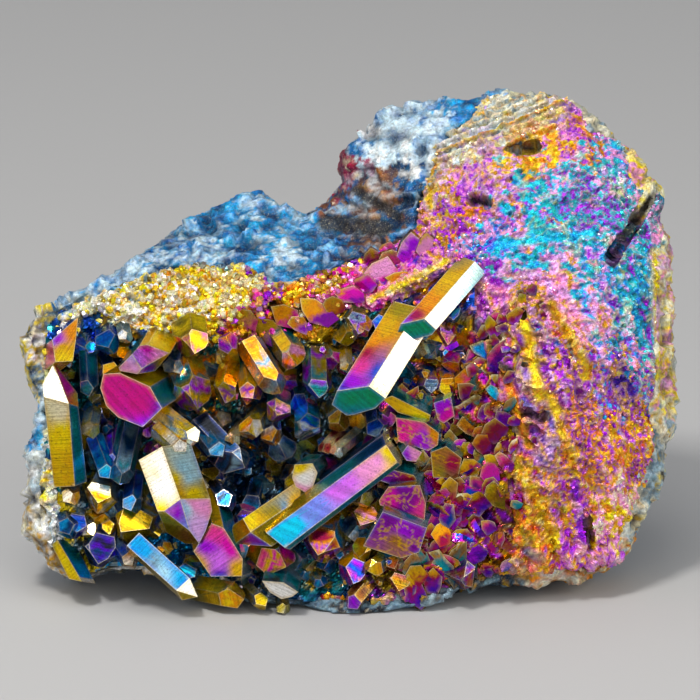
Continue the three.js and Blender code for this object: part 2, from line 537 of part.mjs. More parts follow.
const ridges = WEDGES.filter((entry) => entry[3] > 0);
const grooves = WEDGES.filter((entry) => entry[3] < 0);
let relief = terrain(front, FRONT_STEP, -1);
for (const entry of ridges) relief = relief.add(wedge(entry, 0));
for (const entry of grooves) relief = relief.subtract(wedge(entry, 0));
const body = column(OUTLINE, 0)
  .intersect(relief)
  .intersect(terrain(back, BACK_STEP, 1))
  .intersect(above(0));
const rock = largest(body.intersect(terrain((u, v) => seam(u, v) - GAP, BACK_STEP, -1)));
const quartz = largest(body.subtract(terrain(seam, BACK_STEP, -1)));

const floor = column(HOLLOW_EDGE, 0).intersect(terrain(face, FRONT_STEP, -1));
const random = generator(FILL_SEED);
const crystals = [
  ...CRYSTALS.map(shapedCrystal),
  ...PLATES.map(plateCrystal),
  ...POINTS.map(([tip, root, radius, turn]) => pointedCrystal(tip, root, radius, turn, random)),
];
for (let v = -40; v < 8; v += FILL_STEP) {
  for (let u = -50; u < 27; u += FILL_STEP) {
    const [pu, pv] = [u + (random() - 0.5) * FILL_STEP, v + (random() - 0.5) * FILL_STEP];
    const [distance] = inside(HOLLOW_EDGE, pu, pv);
    const lean = [1.9 * (random() - 0.5), 1.3 * random() - 1.1];
    const long = 3.6 + 2.6 * random();
    const radius = 1.7 + 1.3 * random();
    const turn = 60 * random();
    if (distance < 1.5) continue;
    const w = front(pu, pv);
    const root = [pu, pv, w - 2];
    const tip = [pu + long * lean[0], pv + long * lean[1], w + long];
    crystals.push(pointedCrystal(tip, root, radius, turn, random));
  }
}
const grown = crystals.reduce((joined, crystal) => joined.add(crystal), floor);
const bed = column(OUTLINE, GAP).intersect(
  terrain((u, v) => front(u, v) + GAP, FRONT_STEP, -1),
);
const shelf = ridges.reduce((joined, entry) => joined.add(wedge(entry, GAP)), bed);
const crust = largest(grown.subtract(shelf).intersect(above(CRUST_CLEARANCE)));

// ---- the part ----

function mesh(name, made, colour, roughness, metalness) {
  const { vertProperties, triVerts } = made.getMesh();
  const geometry = new THREE.BufferGeometry();
  geometry.setAttribute("position", new THREE.BufferAttribute(new Float32Array(vertProperties), 3));
  geometry.setIndex(new THREE.BufferAttribute(new Uint32Array(triVerts), 1));
  geometry.computeVertexNormals();
  const material = new THREE.MeshStandardMaterial({ color: colour, roughness, metalness });
  const made3d = new THREE.Mesh(geometry, material);
  made3d.name = name;
  return made3d;
}

const cluster = new THREE.Group();
cluster.add(mesh("host_rock", rock, 0x6c8fa6, 0.6, 0.35));
cluster.add(mesh("massive_quartz", quartz, 0xb06f8f, 0.4, 0.6));
cluster.add(mesh("crystal_crust", crust, 0xc89a3c, 0.2, 0.8));

export default cluster;
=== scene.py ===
# The looks of an aura-coated quartz cluster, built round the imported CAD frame.
# Shapes are worked out in the specimen's leaning face frame, in millimetres: u runs to the right,
# v up the face and w out of it. Everything is turned into the part's own frame, in metres, at the end.
import math

import bmesh
import bpy
import numpy as np
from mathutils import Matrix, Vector


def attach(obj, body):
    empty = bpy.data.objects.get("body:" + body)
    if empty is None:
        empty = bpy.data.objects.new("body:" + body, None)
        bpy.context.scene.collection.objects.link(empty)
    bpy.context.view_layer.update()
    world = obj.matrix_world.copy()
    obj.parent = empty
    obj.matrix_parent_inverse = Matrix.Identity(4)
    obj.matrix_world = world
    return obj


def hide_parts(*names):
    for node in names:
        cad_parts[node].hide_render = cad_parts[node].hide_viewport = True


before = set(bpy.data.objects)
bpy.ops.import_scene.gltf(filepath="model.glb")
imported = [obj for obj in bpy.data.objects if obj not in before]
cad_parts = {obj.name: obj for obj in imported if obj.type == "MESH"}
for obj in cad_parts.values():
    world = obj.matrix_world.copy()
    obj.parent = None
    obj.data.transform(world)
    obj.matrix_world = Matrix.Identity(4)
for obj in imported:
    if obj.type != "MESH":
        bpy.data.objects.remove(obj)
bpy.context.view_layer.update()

# ---- driving dimensions, as in the CAD part, in millimetres ----

MM = 0.001  # in metres
LEAN = math.radians(18)  # how far the face leans back
BASE_DEPTH = 41.7  # height of the face's origin over the flat base
CENTRE = (0, 14.9)  # taken off x and y, so that the part stands centred
REACH = 7  # how far each depth reading of FRONT is felt
FRONT_ROUNDING = 9  # width of the rounding inside the outline
RIM_BAND = 1.2  # how far the front lies over the rim at the outline
LUMP = 1.1  # heights and spacings of the face's lumps and of its finer grain
LUMP_SPACING = 8
GRAIN = 0.55
GRAIN_SPACING = 3.7
BIG_CRYSTAL = 2.1  # from this radius a crystal ends in six facets, below it in three
FILL_STEP = 11  # spacing of the crystals that are drawn between the placed ones
FILL_SEED = 12

# ---- finer than the CAD part ----

CLEARANCE = 0.2  # no finer piece reaches lower than this over the floor
ROCK_VOXEL = 0.51  # fineness of the rock's mesh, and of the massive quartz's
QUARTZ_VOXEL = 0.385
FLOOR_STEP = 0.34  # mesh spacing of the sheet that the crystals stand on
SHAPED_STEP = 0.55  # mesh spacing on the facets of shaped crystals, plates and pointed crystals
PLATE_STEP = 0.28
POINTED_STEP = 0.6
MIDDLE_STEP = 3.7  # spacing of the crystals between the big ones
FINE_STEP = 2.8  # spacing of the smallest crystals
FINE_SEED = 41
SHINGLE_STEP = 1.9  # spacing of the scattered shingles
SHINGLE_SEED = 23
MOSAIC_SALT = 600  # of the flat shingles that the floor and the quartz share
SHORT = 0.02  # facet edges that are shorter are left out
ROOT_LEVEL = -0.4  # painted shade between the crystals is darkest at this height over the front
ROOT_REACH = 2.4  # and is gone this much higher
GRAIN_COUNT = 3600  # grains of druse on the massive quartz
GRAIN_SEED = 77

# ---- camera, in millimetres ----

CAMERA_DISTANCE = 1200
PHOTO_WIDTH = 116.67  # what the photograph's frame spans at the face
SENSOR = 36

# ---- light and floor, in metres ----

LIGHT_DISTANCE = 0.9
BEHIND_CAMERA = 1.6
LIGHT_AIM = 0.04
FLOOR_HALF = 3

# Soft boxes: name, azimuth and elevation in degrees, distance, width and height, watts.
SOFTBOXES = [
    ("right", 58, 28, LIGHT_DISTANCE, (0.6, 0.5), 2.5),
    ("left", -70, 21, LIGHT_DISTANCE, (0.5, 0.5), 1.1),
    ("top", 5, 52, LIGHT_DISTANCE, (0.5, 0.4), 0.8),
    ("low", 30, 13, BEHIND_CAMERA, (0.6, 0.4), 1.5),
    ("low_left", -36, 13, BEHIND_CAMERA, (0.5, 0.4), 0.5),
    ("high", -10, 80, LIGHT_DISTANCE, (0.3, 0.3), 0.8),
    ("back", -125, 55, LIGHT_DISTANCE, (0.5, 0.5), 0.7),
    ("key", -35, 62, LIGHT_DISTANCE, (0.16, 0.16), 4.4, (1, 0.98, 0.95)),
    ("front", -3, 22, BEHIND_CAMERA, (0.9, 0.6), 1.5),
]

# The coatings. polish: roughness of the smoothest and the roughest places. grain: what the size
# of the marks goes by; relief: their height. hue_swing: how far the hue wanders. values: how dark
# and how bright the marks make the tint. speckle: how strong the flecks of the colour fleck are.
# Cream flecks are painted glints.
COATINGS = {
    "coated_rock": {
        "metallic": 0.45, "polish": (0.3, 0.6), "grain": 0.35, "relief": 0.4,
        "hue_swing": 0.02, "values": (0.5, 1.3), "speckle": 0.25, "fleck": "cream",
    },
    "coated_quartz": {
        "metallic": 0.45, "polish": (0.22, 0.45), "grain": 0.28, "relief": 0.3,
        "hue_swing": 0.045, "values": (0.62, 1.3), "speckle": 0.2, "fleck": "cream",
    },
    "coated_grain": {
        "metallic": 0.6, "polish": (0.15, 0.35), "grain": 0.25, "relief": 0.08,
        "hue_swing": 0.04, "values": (0.8, 1.2), "speckle": 0.1, "fleck": "cream",
    },
    "coated_crystal": {
        "metallic": 0.75, "polish": (0.1, 0.24), "grain": 0.4, "relief": 0.03,
        "hue_swing": 0.012, "values": (0.8, 1.1), "speckle": 0.55, "fleck": "dark",
    },
}

# ---- colours and measured places ----

# The coating's colours, linear red, green and blue.
PALETTE = {
    "white": (0.93, 0.92, 0.88), "cream": (0.92, 0.82, 0.55), "yellow": (0.93, 0.68, 0.06),
    "gold": (0.72, 0.42, 0.04), "olive": (0.3, 0.23, 0.03), "orange": (0.82, 0.3, 0.03),
    "bronze": (0.36, 0.17, 0.05), "brown": (0.2, 0.07, 0.03), "burgundy": (0.33, 0.02, 0.07),
    "rose": (0.78, 0.1, 0.32), "magenta": (0.72, 0.04, 0.42), "pink": (0.92, 0.36, 0.68),
    "lilac": (0.74, 0.45, 0.86), "orchid": (0.7, 0.2, 0.85), "violet": (0.38, 0.05, 0.68),
    "purple": (0.2, 0.01, 0.3), "indigo": (0.09, 0.03, 0.42), "blue": (0.02, 0.1, 0.6),
    "periwinkle": (0.25, 0.33, 0.9), "azure": (0.03, 0.36, 0.75), "cyan": (0.02, 0.62, 0.86),
    "pale_blue": (0.45, 0.72, 0.85), "steel": (0.2, 0.32, 0.4), "teal": (0.02, 0.24, 0.28),
    "green": (0.0, 0.27, 0.12), "mint": (0.55, 0.85, 0.72), "navy": (0.01, 0.05, 0.14),
    "dark": (0.012, 0.014, 0.02), "cobalt": (0.02, 0.17, 0.42), "frost": (0.6, 0.74, 0.82),
    "turquoise": (0.06, 0.55, 0.58), "mauve": (0.52, 0.26, 0.5), "crimson": (0.5, 0.03, 0.2),
}

# Outline of the face, clockwise from the left: u, v and the depth w of the rim there.
OUTLINE = [
    [-54.5, 3.5, -5], [-53, 6, -7], [-49, 7.5, -9], [-44.5, 10, -10], [-38.5, 12.5, -12],
    [-33.5, 17, -17], [-31, 19.5, -20], [-23.5, 23.5, -24], [-19.5, 25.5, -26], [-15.5, 26.5, -26],
    [-12.5, 25, -26], [-10, 23, -26], [-7.5, 22.5, -26], [-4.5, 24, -26], [-3, 25.5, -25],
    [-1, 28, -24], [-1.5, 31, -24], [-1.5, 33.5, -24], [1, 35.5, -24], [4.5, 39.5, -24],
    [7.5, 41, -24], [11, 41.5, -24], [15, 42.5, -24], [18, 41.5, -24], [21, 42.5, -24],
    [26.5, 43, -24], [31.5, 43, -24], [34.5, 43, -23], [39.5, 41, -22], [40.5, 39.5, -22],
    [42.5, 37.5, -21], [46, 34.5, -20], [48.5, 31.5, -19], [50, 29, -18], [52.5, 26, -18],
    [52.5, 22, -17], [54, 18, -16], [53.5, 11.5, -15], [54.5, 0, -14], [54.5, -7.5, -13],
    [53.5, -15, -13], [52, -21.5, -12], [50, -25.5, -11], [48.5, -29, -11], [46.5, -34, -10],
    [42.5, -37, -9], [38, -38, -8], [34, -39, -7], [26, -39.2, -5], [18.5, -40, -3],
    [12.5, -42.5, -2], [9, -43, -1], [3.5, -44, 0], [-0.5, -45, 0], [-4.5, -43.5, 0],
    [-8.5, -42.5, 0], [-14, -42.2, -1], [-20, -41.5, -2], [-25, -39.5, -3], [-30, -38, -4],
    [-35, -37, -5], [-40, -37, -6], [-45, -39, -6], [-49.5, -36.5, -6], [-52, -33.5, -6],
    [-54, -31, -6], [-54.5, -27.5, -6], [-53.5, -21.5, -6], [-54, -17.5, -6], [-53, -13.5, -6],
    [-51.5, -8.5, -5], [-53.5, -6, -5], [-54.5, -2.5, -5],
]

# Edge of the massive quartz on the face; edge of the hollow that the crust of crystals lines.
QUARTZ_EDGE = [
    [-50, 6], [-43, 8.5], [-37.5, 11.5], [-33, 12.8], [-28, 14.4], [-19, 14.6], [-16, 14],
    [-12, 9.5], [-8.5, 12], [-4, 13.5], [0, 15], [5, 18], [10.5, 21.5], [11.5, 27], [13, 32.5],
    [15, 36], [21, 38.5], [30, 41.6], [34.5, 42.4], [39.2, 40.6], [42, 37], [45.5, 34], [48, 31],
    [49.4, 28.5], [50.5, 25], [51.5, 18], [51.5, 8], [52, -2], [51, -14], [49, -22], [46.6, -29],
    [44.5, -34], [41, -36.6], [33, -38.2], [25, -38.4], [17, -39.2], [10, -41.4], [2, -42.5],
    [-8, -41.6], [-20, -40], [-30, -36.5], [-40, -35.5], [-46, -37.5], [-49, -33], [-50.5, -24],
    [-50.5, -10], [-51, -2],
]
HOLLOW_EDGE = [
    [-50, 4], [-46, 6.4], [-42, 5], [-38, 3.6], [-31, 2.6], [-24, 1.4], [-17, -0.4], [-12, 2.4],
    [-6, 2.6], [-1, 6], [3.5, 7], [10, 9.6], [16, 12.4], [20, 9.4], [20, 3], [23, -2], [26, -9],
    [27, -16], [26, -24], [27, -32], [24, -37], [15, -38.6], [4, -41.5], [-6, -41.4], [-14, -40.6],
    [-22, -39.6], [-30, -36.6], [-38, -35.6], [-45, -37], [-48.2, -32], [-48.2, -25], [-50, -18],
    [-50.4, -6],
]

# Depth w of the front surface at a point u, v of the face.
FRONT = [
    [-52, 4, -2], [-51, -4, -3], [-52, -12, -4], [-51, -23, 0.5], [-51, -29, 1], [-47, -35, -4],
    [-46, 8, -8], [-38, 9, -4], [-38, 5, -2], [-30, 11, -6], [-30, 5, -1], [-22, 12, -7],
    [-20, 6, -1], [-13, 12, -8], [-12, 6, -3], [-4, 9, 1], [-3, 14, -5], [-28, 17, -16],
    [-20, 21, -19], [-10, 19, -17], [-3, 20, -20], [3, 21, -17], [8, 14, -4], [12, 18, -6],
    [3, 27, -19], [2, 33, -18], [8, 38, -19], [8, 30, -13], [9, 24, -12], [15, 40, -20],
    [16, 33, -10], [22, 37, -11], [30, 39, -13], [38, 38, -13], [44, 31, -10], [24, 28, -6],
    [33, 30, -5], [40, 22, -3], [48, 20, -8], [22, 18, -2], [30, 16, 1], [40, 10, 3], [49, 6, -4],
    [20, 8, 0], [28, 5, 3.5], [36, -4, 6], [46, -8, 1], [50, -12, -5], [26, -8, 3.5], [32, -16, 6],
    [40, -20, 4], [47, -24, -4], [30, -28, 4], [38, -32, 0], [26, -36, 1], [20, -26, 1],
    [18, -36, 0], [10, -30, 0], [8, -38, 0], [14, -14, -1], [14, -2, -3], [4, -20, -4],
    [0, -34, -2], [-10, -38, -2], [-8, -26, -5], [-4, -10, -7], [-10, -4, -8], [-16, -16, -8],
    [-24, -6, -8], [-24, -30, -4], [-30, -20, -7], [-36, -8, -7], [-40, -20, -9], [-42, -32, -7],
    [-36, -33, -5], [-44, 0, -8], [2, 2, -6], [-20, -36, -3],
]

# Shaped crystals: name; the way back to the root; thickness; facets; corners a, b, c and so on. A
# facet is a word and the colours of its coating, each with the place u, v it is felt at. As in the
# CAD part, the word names the corners that the plane passes through. A plane of two corners also
# follows the way back to the root, or w where the word has |, and one of a single corner both.
# With = there is a second plane on the far side, a thickness away.
# White and cream on the facets are painted reflections of the lights.
CRYSTALS = [
    ["long_prism", (0.6, 1.6, -8), 0,
     {"abc": [(-12.5, -31.2, "cyan"), (-9.4, -29, "cyan"), (-7, -27.2, "periwinkle"),
              (-4.6, -25.4, "periwinkle"), (-2.6, -23.6, "orchid"), (-0.4, -21.8, "orchid"),
              (2.2, -19.6, "pink"), (4.4, -18.2, "pink"), (5.8, -17, "yellow"),
              (7.2, -17.8, "yellow")],
      "abe": [(-13, -28.6, "gold"), (-8, -25, "olive"), (-3, -20, "teal"), (3, -16, "navy")],
      "cdg": [(0, -25, "teal")], "fe": [(-4, -20, "navy")], "bc": [(7, -17, "cream")],
      "gh": [(0, -25, "dark")], "ad": [(-12, -31, "azure")]},
     [(-13.9, -30.3, 6.6), (6, -15.7, 6.2), (7.9, -18.6, 6.2), (-10.8, -32.8, 6.6),
      (5.4, -14, 3.6), (-14.2, -28.6, 4), (8.2, -19.3, 5), (-10.4, -33.5, 5.4)]],
    ["green_tip_low", (8.6, 13.8, -7.6), 6.5,
     {"abc=": [(-1.4, -6.2, "indigo"), (0.6, -5, "violet"), (1.6, -2.6, "rose"), (3, 0, "burgundy"),
               (3.8, 1.6, "orange"), (5.4, 4, "gold"), (8, 7.4, "olive"), (4.6, -3, "blue")],
      "abd=": [(5, -6.4, "cream"), (7, -3, "white"), (10, 0.4, "white")],
      "acd": [(-2.6, -10, "teal"), (0, -8, "green"), (4, -8, "green"), (0.4, -10.4, "teal")],
      "ce": [(0, 0, "teal")], "ef": [(0, 0, "olive")], "fg": [(0, 0, "olive")],
      "gh": [(4, -9, "olive")], "hd": [(8, -4, "olive")]},
     [(3.2, -6, 7.4), (7.6, 1, 3.5), (-2.2, -6.8, 5.6), (5.9, -8, 6.6), (-3.3, -9.8, 3.2),
      (-2.6, -11, 2.5), (0.5, -10.8, 3.4), (4.2, -9.7, 5)]],
    ["green_tip_high", (8.8, 10, -4.8), 6,
     {"abc=": [(9, 4.6, "violet"), (10.6, 5.8, "burgundy"), (12.6, 8, "orange"), (16, 11.4, "gold")],
      "abd=": [(14, 5, "white"), (16.4, 8.4, "white"), (18.4, 8.6, "mint")],
      "acd": [(12.4, 4.4, "green"), (9.4, 3, "green"), (8.6, 1.6, "teal")],
      "ce": [(8, 4, "teal")], "ef": [(8, 2, "teal")], "fg": [(11, 2, "rose")],
      "gd": [(14, 3, "olive")]},
     [(12.4, 5.2, 4.4), (16.8, 10.2, 2), (8.4, 4.3, 2.9), (14.3, 3.4, 3.7), (7.7, 2.4, 1.5),
      (8.3, 1.1, 0.9), (13.6, 2.5, 3)]],
    ["magenta_face", (5, 3.2, -13), 0,
     {"adf": [(-38, -7, "crimson"), (-35, -9, "crimson"), (-31.6, -9.4, "purple"),
              (-34, -12.6, "violet"), (-41.2, -4.4, "crimson"), (-33.6, -6.6, "crimson")],
      "ab": [(-40, -4, "gold")], "bc": [(-37, -4.4, "gold"), (-33, -6, "yellow")],
      "cd": [(-32, -8, "teal")], "de": [(-33, -11, "gold")], "ef": [(-36, -12, "dark")],
      "fg": [(-40, -10, "dark")], "gh": [(-41, -8, "dark")], "ha": [(-41, -5, "cream")]},
     [(-41, -4, 3.7), (-38.3, -3.8, 3.9), (-33.2, -6.1, 4.3), (-31.2, -9.7, 4.6),
      (-34.4, -12.8, 4.5), (-38.5, -11.2, 4.2), (-40.5, -9.3, 4), (-41.5, -6.3, 3.8)]],
    ["pink_pair", (2, 4, -10), 0,
     {"abc": [(-37, -2.4, "pink"), (-36.4, -1.4, "lilac")],
      "abe": [(-35, -1.6, "orchid"), (-33.6, 0.2, "magenta"), (-31.4, -0.6, "pink")],
      "bfg": [(-33.4, -2.8, "purple"), (-31.4, -2, "olive"), (-30.6, -1, "gold")],
      "cj": [(-38, -2, "gold")], "ah": [(-35.6, 0, "teal")], "hi": [(-34, 1, "gold")],
      "ie": [(-32, 0.4, "yellow")], "fg": [(-31.6, -2.4, "dark")], "kl": [(-37, -4, "dark")],
      "lc": [(-38, -3, "gold")]},
     [(-36.2, -0.7, 5), (-34.6, -3.1, 5), (-38.5, -2.7, 4), (-37, -4, 3), (-30.3, -0.4, 3.6),
      (-30.2, -0.9, 3.3), (-32.7, -3.8, 2.6), (-34.9, 0.8, 4.4), (-33.6, 0.9, 4.1),
      (-37.8, -1.5, 4.2), (-35.4, -3.9, 4.4), (-38.2, -3.4, 3.8)]],
    ["white_prism", (-3.1, 8.5, -3.4), 7.5,
     {"abd=": [(-32.6, -20.4, "cream"), (-31, -22.6, "white"), (-31.4, -26.2, "yellow"),
               (-29.6, -23.6, "white"), (-30.6, -19.6, "white"), (-28.6, -24.6, "cream")],
      "abg=": [(-27.4, -19.6, "pale_blue"), (-26, -21.4, "pale_blue"), (-25.6, -23.8, "yellow"),
               (-29.2, -21.4, "yellow"), (-24.2, -22.4, "olive"), (-28, -24, "gold")],
      "adi": [(-29.6, -26.4, "orchid"), (-28.6, -26.6, "violet"), (-27.2, -29, "periwinkle")],
      "agi": [(-25.6, -25.6, "pink"), (-23.6, -26.6, "pink"), (-25.2, -29, "lilac"),
              (-27.4, -26.4, "pale_blue")],
      "dif": [(-29.4, -28.6, "olive"), (-27.4, -30.8, "bronze")], "eh|": [(-33, -23, "steel")],
      "gj": [(-23, -27, "pink")], "jk|": [(-24, -29, "steel")], "kl": [(-25, -31, "bronze")]},
     [(-28.1, -24.7, 8), (-30.4, -18.3, 5.5), (-33.1, -20.3, 4.1), (-30.8, -26.7, 6.6),
      (-32, -26.5, 5.6), (-30.5, -30.3, 3), (-23.2, -24.6, 6), (-34.1, -21, 3.6),
      (-26.6, -30, 5.5), (-22.9, -26.7, 5), (-23.9, -29.8, 4.4), (-26.8, -31.8, 3)]],
    ["blue_prism", (-6.6, 5.9, -1.6), 6,
     {"abd=": [(-36, -32.6, "azure"), (-33, -35, "steel"), (-31, -37, "pale_blue"),
               (-29, -36, "azure"), (-27, -38, "azure"), (-34.4, -33.4, "azure")],
      "bde=": [(-34, -36, "olive"), (-29, -41, "olive")], "abf": [(-27.4, -39.4, "white")],
      "bef": [(-27, -41, "olive")], "ac|": [(-30, -35, "navy")], "e|": [(-30, -41, "dark")],
      "ef|": [(-26.6, -41.4, "olive")], "af|": [(-26, -39, "steel")]},
     [(-26.6, -37.9, 5), (-28.8, -39.9, 5.6), (-32, -33.1, 3.9), (-37, -32.6, 3.9),
      (-27.9, -41.6, 3.6), (-25.3, -41, 4.6)]],
    ["violet_face", (-2, 8, -10), 0,
     {"abd": [(-22.2, -30, "rose"), (-23.8, -33, "violet"), (-20, -32.6, "magenta"),
              (-22, -35, "orchid"), (-21.6, -37, "indigo"), (-25.6, -35.4, "gold"),
              (-18.4, -36.6, "gold")],
      "ab": [(-24, -31, "gold")], "bc": [(-22, -29, "gold")], "cd": [(-19, -32, "teal")],
      "de": [(-18, -36, "cream")], "ef": [(-20, -38, "gold")], "fa": [(-25, -36, "yellow")]},
     [(-26, -33.5, 3), (-23, -28.8, 4), (-21, -29.4, 4.6), (-17.8, -34.6, 6), (-17.9, -37.5, 6),
      (-23, -38, 4.6)]],
    ["tall_prism", (1.3, -12, -2.4), 5,
     {"abc=": [(-48.6, -9.6, "cream"), (-48, -14, "yellow"), (-47.2, -20, "gold")],
      "be=": [(-45.6, -14, "teal")], "abd": [(-48.6, -6.4, "white")],
      "bde": [(-46.4, -6.4, "magenta"), (-45.4, -7.6, "orange")], "a|": [(-50, -14, "steel")],
      "e|": [(-45, -14, "navy")]},
     [(-50.9, -7.8, 3.7), (-46.7, -8.9, 4.6), (-47.9, -21.5, 2.2), (-48.7, -4, 1.4),
      (-45.2, -9.4, 2.6)]],
    ["top_left_face", (-3, -2, -10), 0,
     {"abd": [(-46.4, 3, "orange"), (-49, 2, "violet"), (-47.6, 0, "gold"), (-47.4, -2, "yellow")],
      "ab": [(-45.2, 4, "teal")], "bc": [(-45.8, 0, "teal")], "cd": [(-48, -2, "yellow")],
      "de": [(-49, 0, "rose")], "ea": [(-48, 4, "violet")]},
     [(-45.2, 5.6, -1), (-45.6, 2, 1.5), (-46.4, -2.2, 2.5), (-49, -2, 2.5), (-49.3, 2, 0.5)]],
    ["yellow_prism", (-2.6, 5, -2.2), 5,
     {"abc=": [(-47, -35, "yellow"), (-48, -33, "yellow")], "abd=": [(-46.4, -34, "white")],
      "de": [(-44, -36, "azure"), (-45, -33, "teal")], "c|": [(-48, -35, "yellow")],
      "ce|": [(-45, -38.5, "cream")], "e|": [(-43, -36, "navy")]},
     [(-45.2, -37.6, 0), (-48.3, -31.3, -1.6), (-46.9, -38.2, -1.2), (-44.6, -38, -0.4),
      (-42.5, -39, -2)]],
    ["violet_end", (10.4, 7, -3.4), 5,
     {"abe=": [(-16.4, -28.8, "yellow"), (-14.8, -28.6, "gold"), (-12.4, -26.8, "olive"),
               (-10.6, -25.6, "steel"), (-9.4, -25, "gold")],
      "acd": [(-16, -31, "purple"), (-17.6, -32.2, "burgundy"), (-13.6, -31.4, "indigo")],
      "ace": [(-17.6, -29.6, "orange")], "abd=": [(-12, -29, "olive")],
      "e|": [(-14, -26, "olive")], "cd": [(-16, -33, "steel")]},
     [(-16.5, -30.2, 6.8), (-8.5, -24.8, 4.2), (-19, -32.2, 4.2), (-13, -32.6, 5.2),
      (-17.8, -28, 4.4)]],
]

# Flat plates seen end on: name; root; depth and slopes; colours; corners.
# Their white is a painted reflection of the lights.
PLATES = [
    ["cream_end", (2, 1.5, -8), (4.6, -0.25, 0.2),
     [(-8.4, -19.6, "yellow"), (-7.2, -21.2, "white"), (-7.4, -23.6, "pink")],
     [(-9.2, -19), (-6.2, -18.8), (-5.4, -20.4), (-6.1, -22.6), (-7.4, -23.7), (-9, -22.7),
      (-9.6, -21.2)]],
    ["white_end", (1, 4, -8), (4, 0.1, 0.5), [(-11, -40, "white")],
     [(-14.6, -38.3), (-11, -38.6), (-8.6, -40.2), (-9.6, -41), (-11.4, -41.4), (-13.4, -40.2)]],
    ["purple_plate_high", (1, 3, -7), (3, 0.1, 0.35), [(7, -21, "purple"), (10, -21, "burgundy")],
     [(4.6, -21.6), (7, -19.9), (10.6, -20.8), (11.4, -22.2), (7, -22.4)]],
    ["purple_plate", (1, 3, -7), (4, 0.15, 0.3),
     [(7, -24.6, "magenta"), (9, -23.6, "purple"), (12, -27, "rose"), (9, -26, "purple")],
     [(4.8, -25), (6.4, -22.7), (11.6, -22.4), (12.6, -25.5), (12.4, -28.3), (5, -25.8)]],
    ["purple_plate_low", (1, 4, -7), (4.2, 0.1, 0.3),
     [(6, -29, "purple"), (9, -30, "violet"), (11, -32, "purple"), (8, -32, "bronze")],
     [(2.2, -32.6), (5.4, -26.8), (12.8, -29.5), (11.5, -33.6), (8.5, -34.6)]],
    ["mauve_plate", (1, 2, -7), (2.4, 0.2, 0.25),
     [(10, -13, "rose"), (12, -15, "violet"), (14.4, -13.6, "orange"), (8.6, -13, "magenta")],
     [(7.6, -11.2), (12.4, -12), (14.8, -13.8), (14.6, -15.8), (13, -16.8), (8, -15.2)]],
    ["violet_plate", (1, 2, -6), (2.2, -0.1, 0.2), [(15, -9, "violet"), (16.4, -11, "magenta")],
     [(13.9, -8.8), (16.8, -7.8), (17.4, -11), (15.6, -12.2), (14.6, -11.6)]],
    ["brown_plate", (1, 3, -6), (2.2, -0.2, 0.2),
     [(15, -18, "bronze"), (17, -19, "burgundy"), (15, -21, "olive")],
     [(13.4, -17), (16, -16), (18.6, -18), (18, -21.4), (13.8, -21.2)]],
    ["pink_cube", (-1, 2, -5), (2.6, -0.3, 0.3), [(9, -17.4, "violet"), (10.4, -17.2, "pink")],
     [(8.6, -17.2), (9.6, -15.8), (12, -17), (11, -18.6), (9.4, -18.4)]],
    ["gold_bar", (1, 3, -6), (1.6, 0, 0.3), [(8, -9, "gold"), (12, -11, "yellow")],
     [(5.4, -8.2), (7, -7.6), (13.4, -10.8), (13.2, -12), (8, -10.4)]],
]
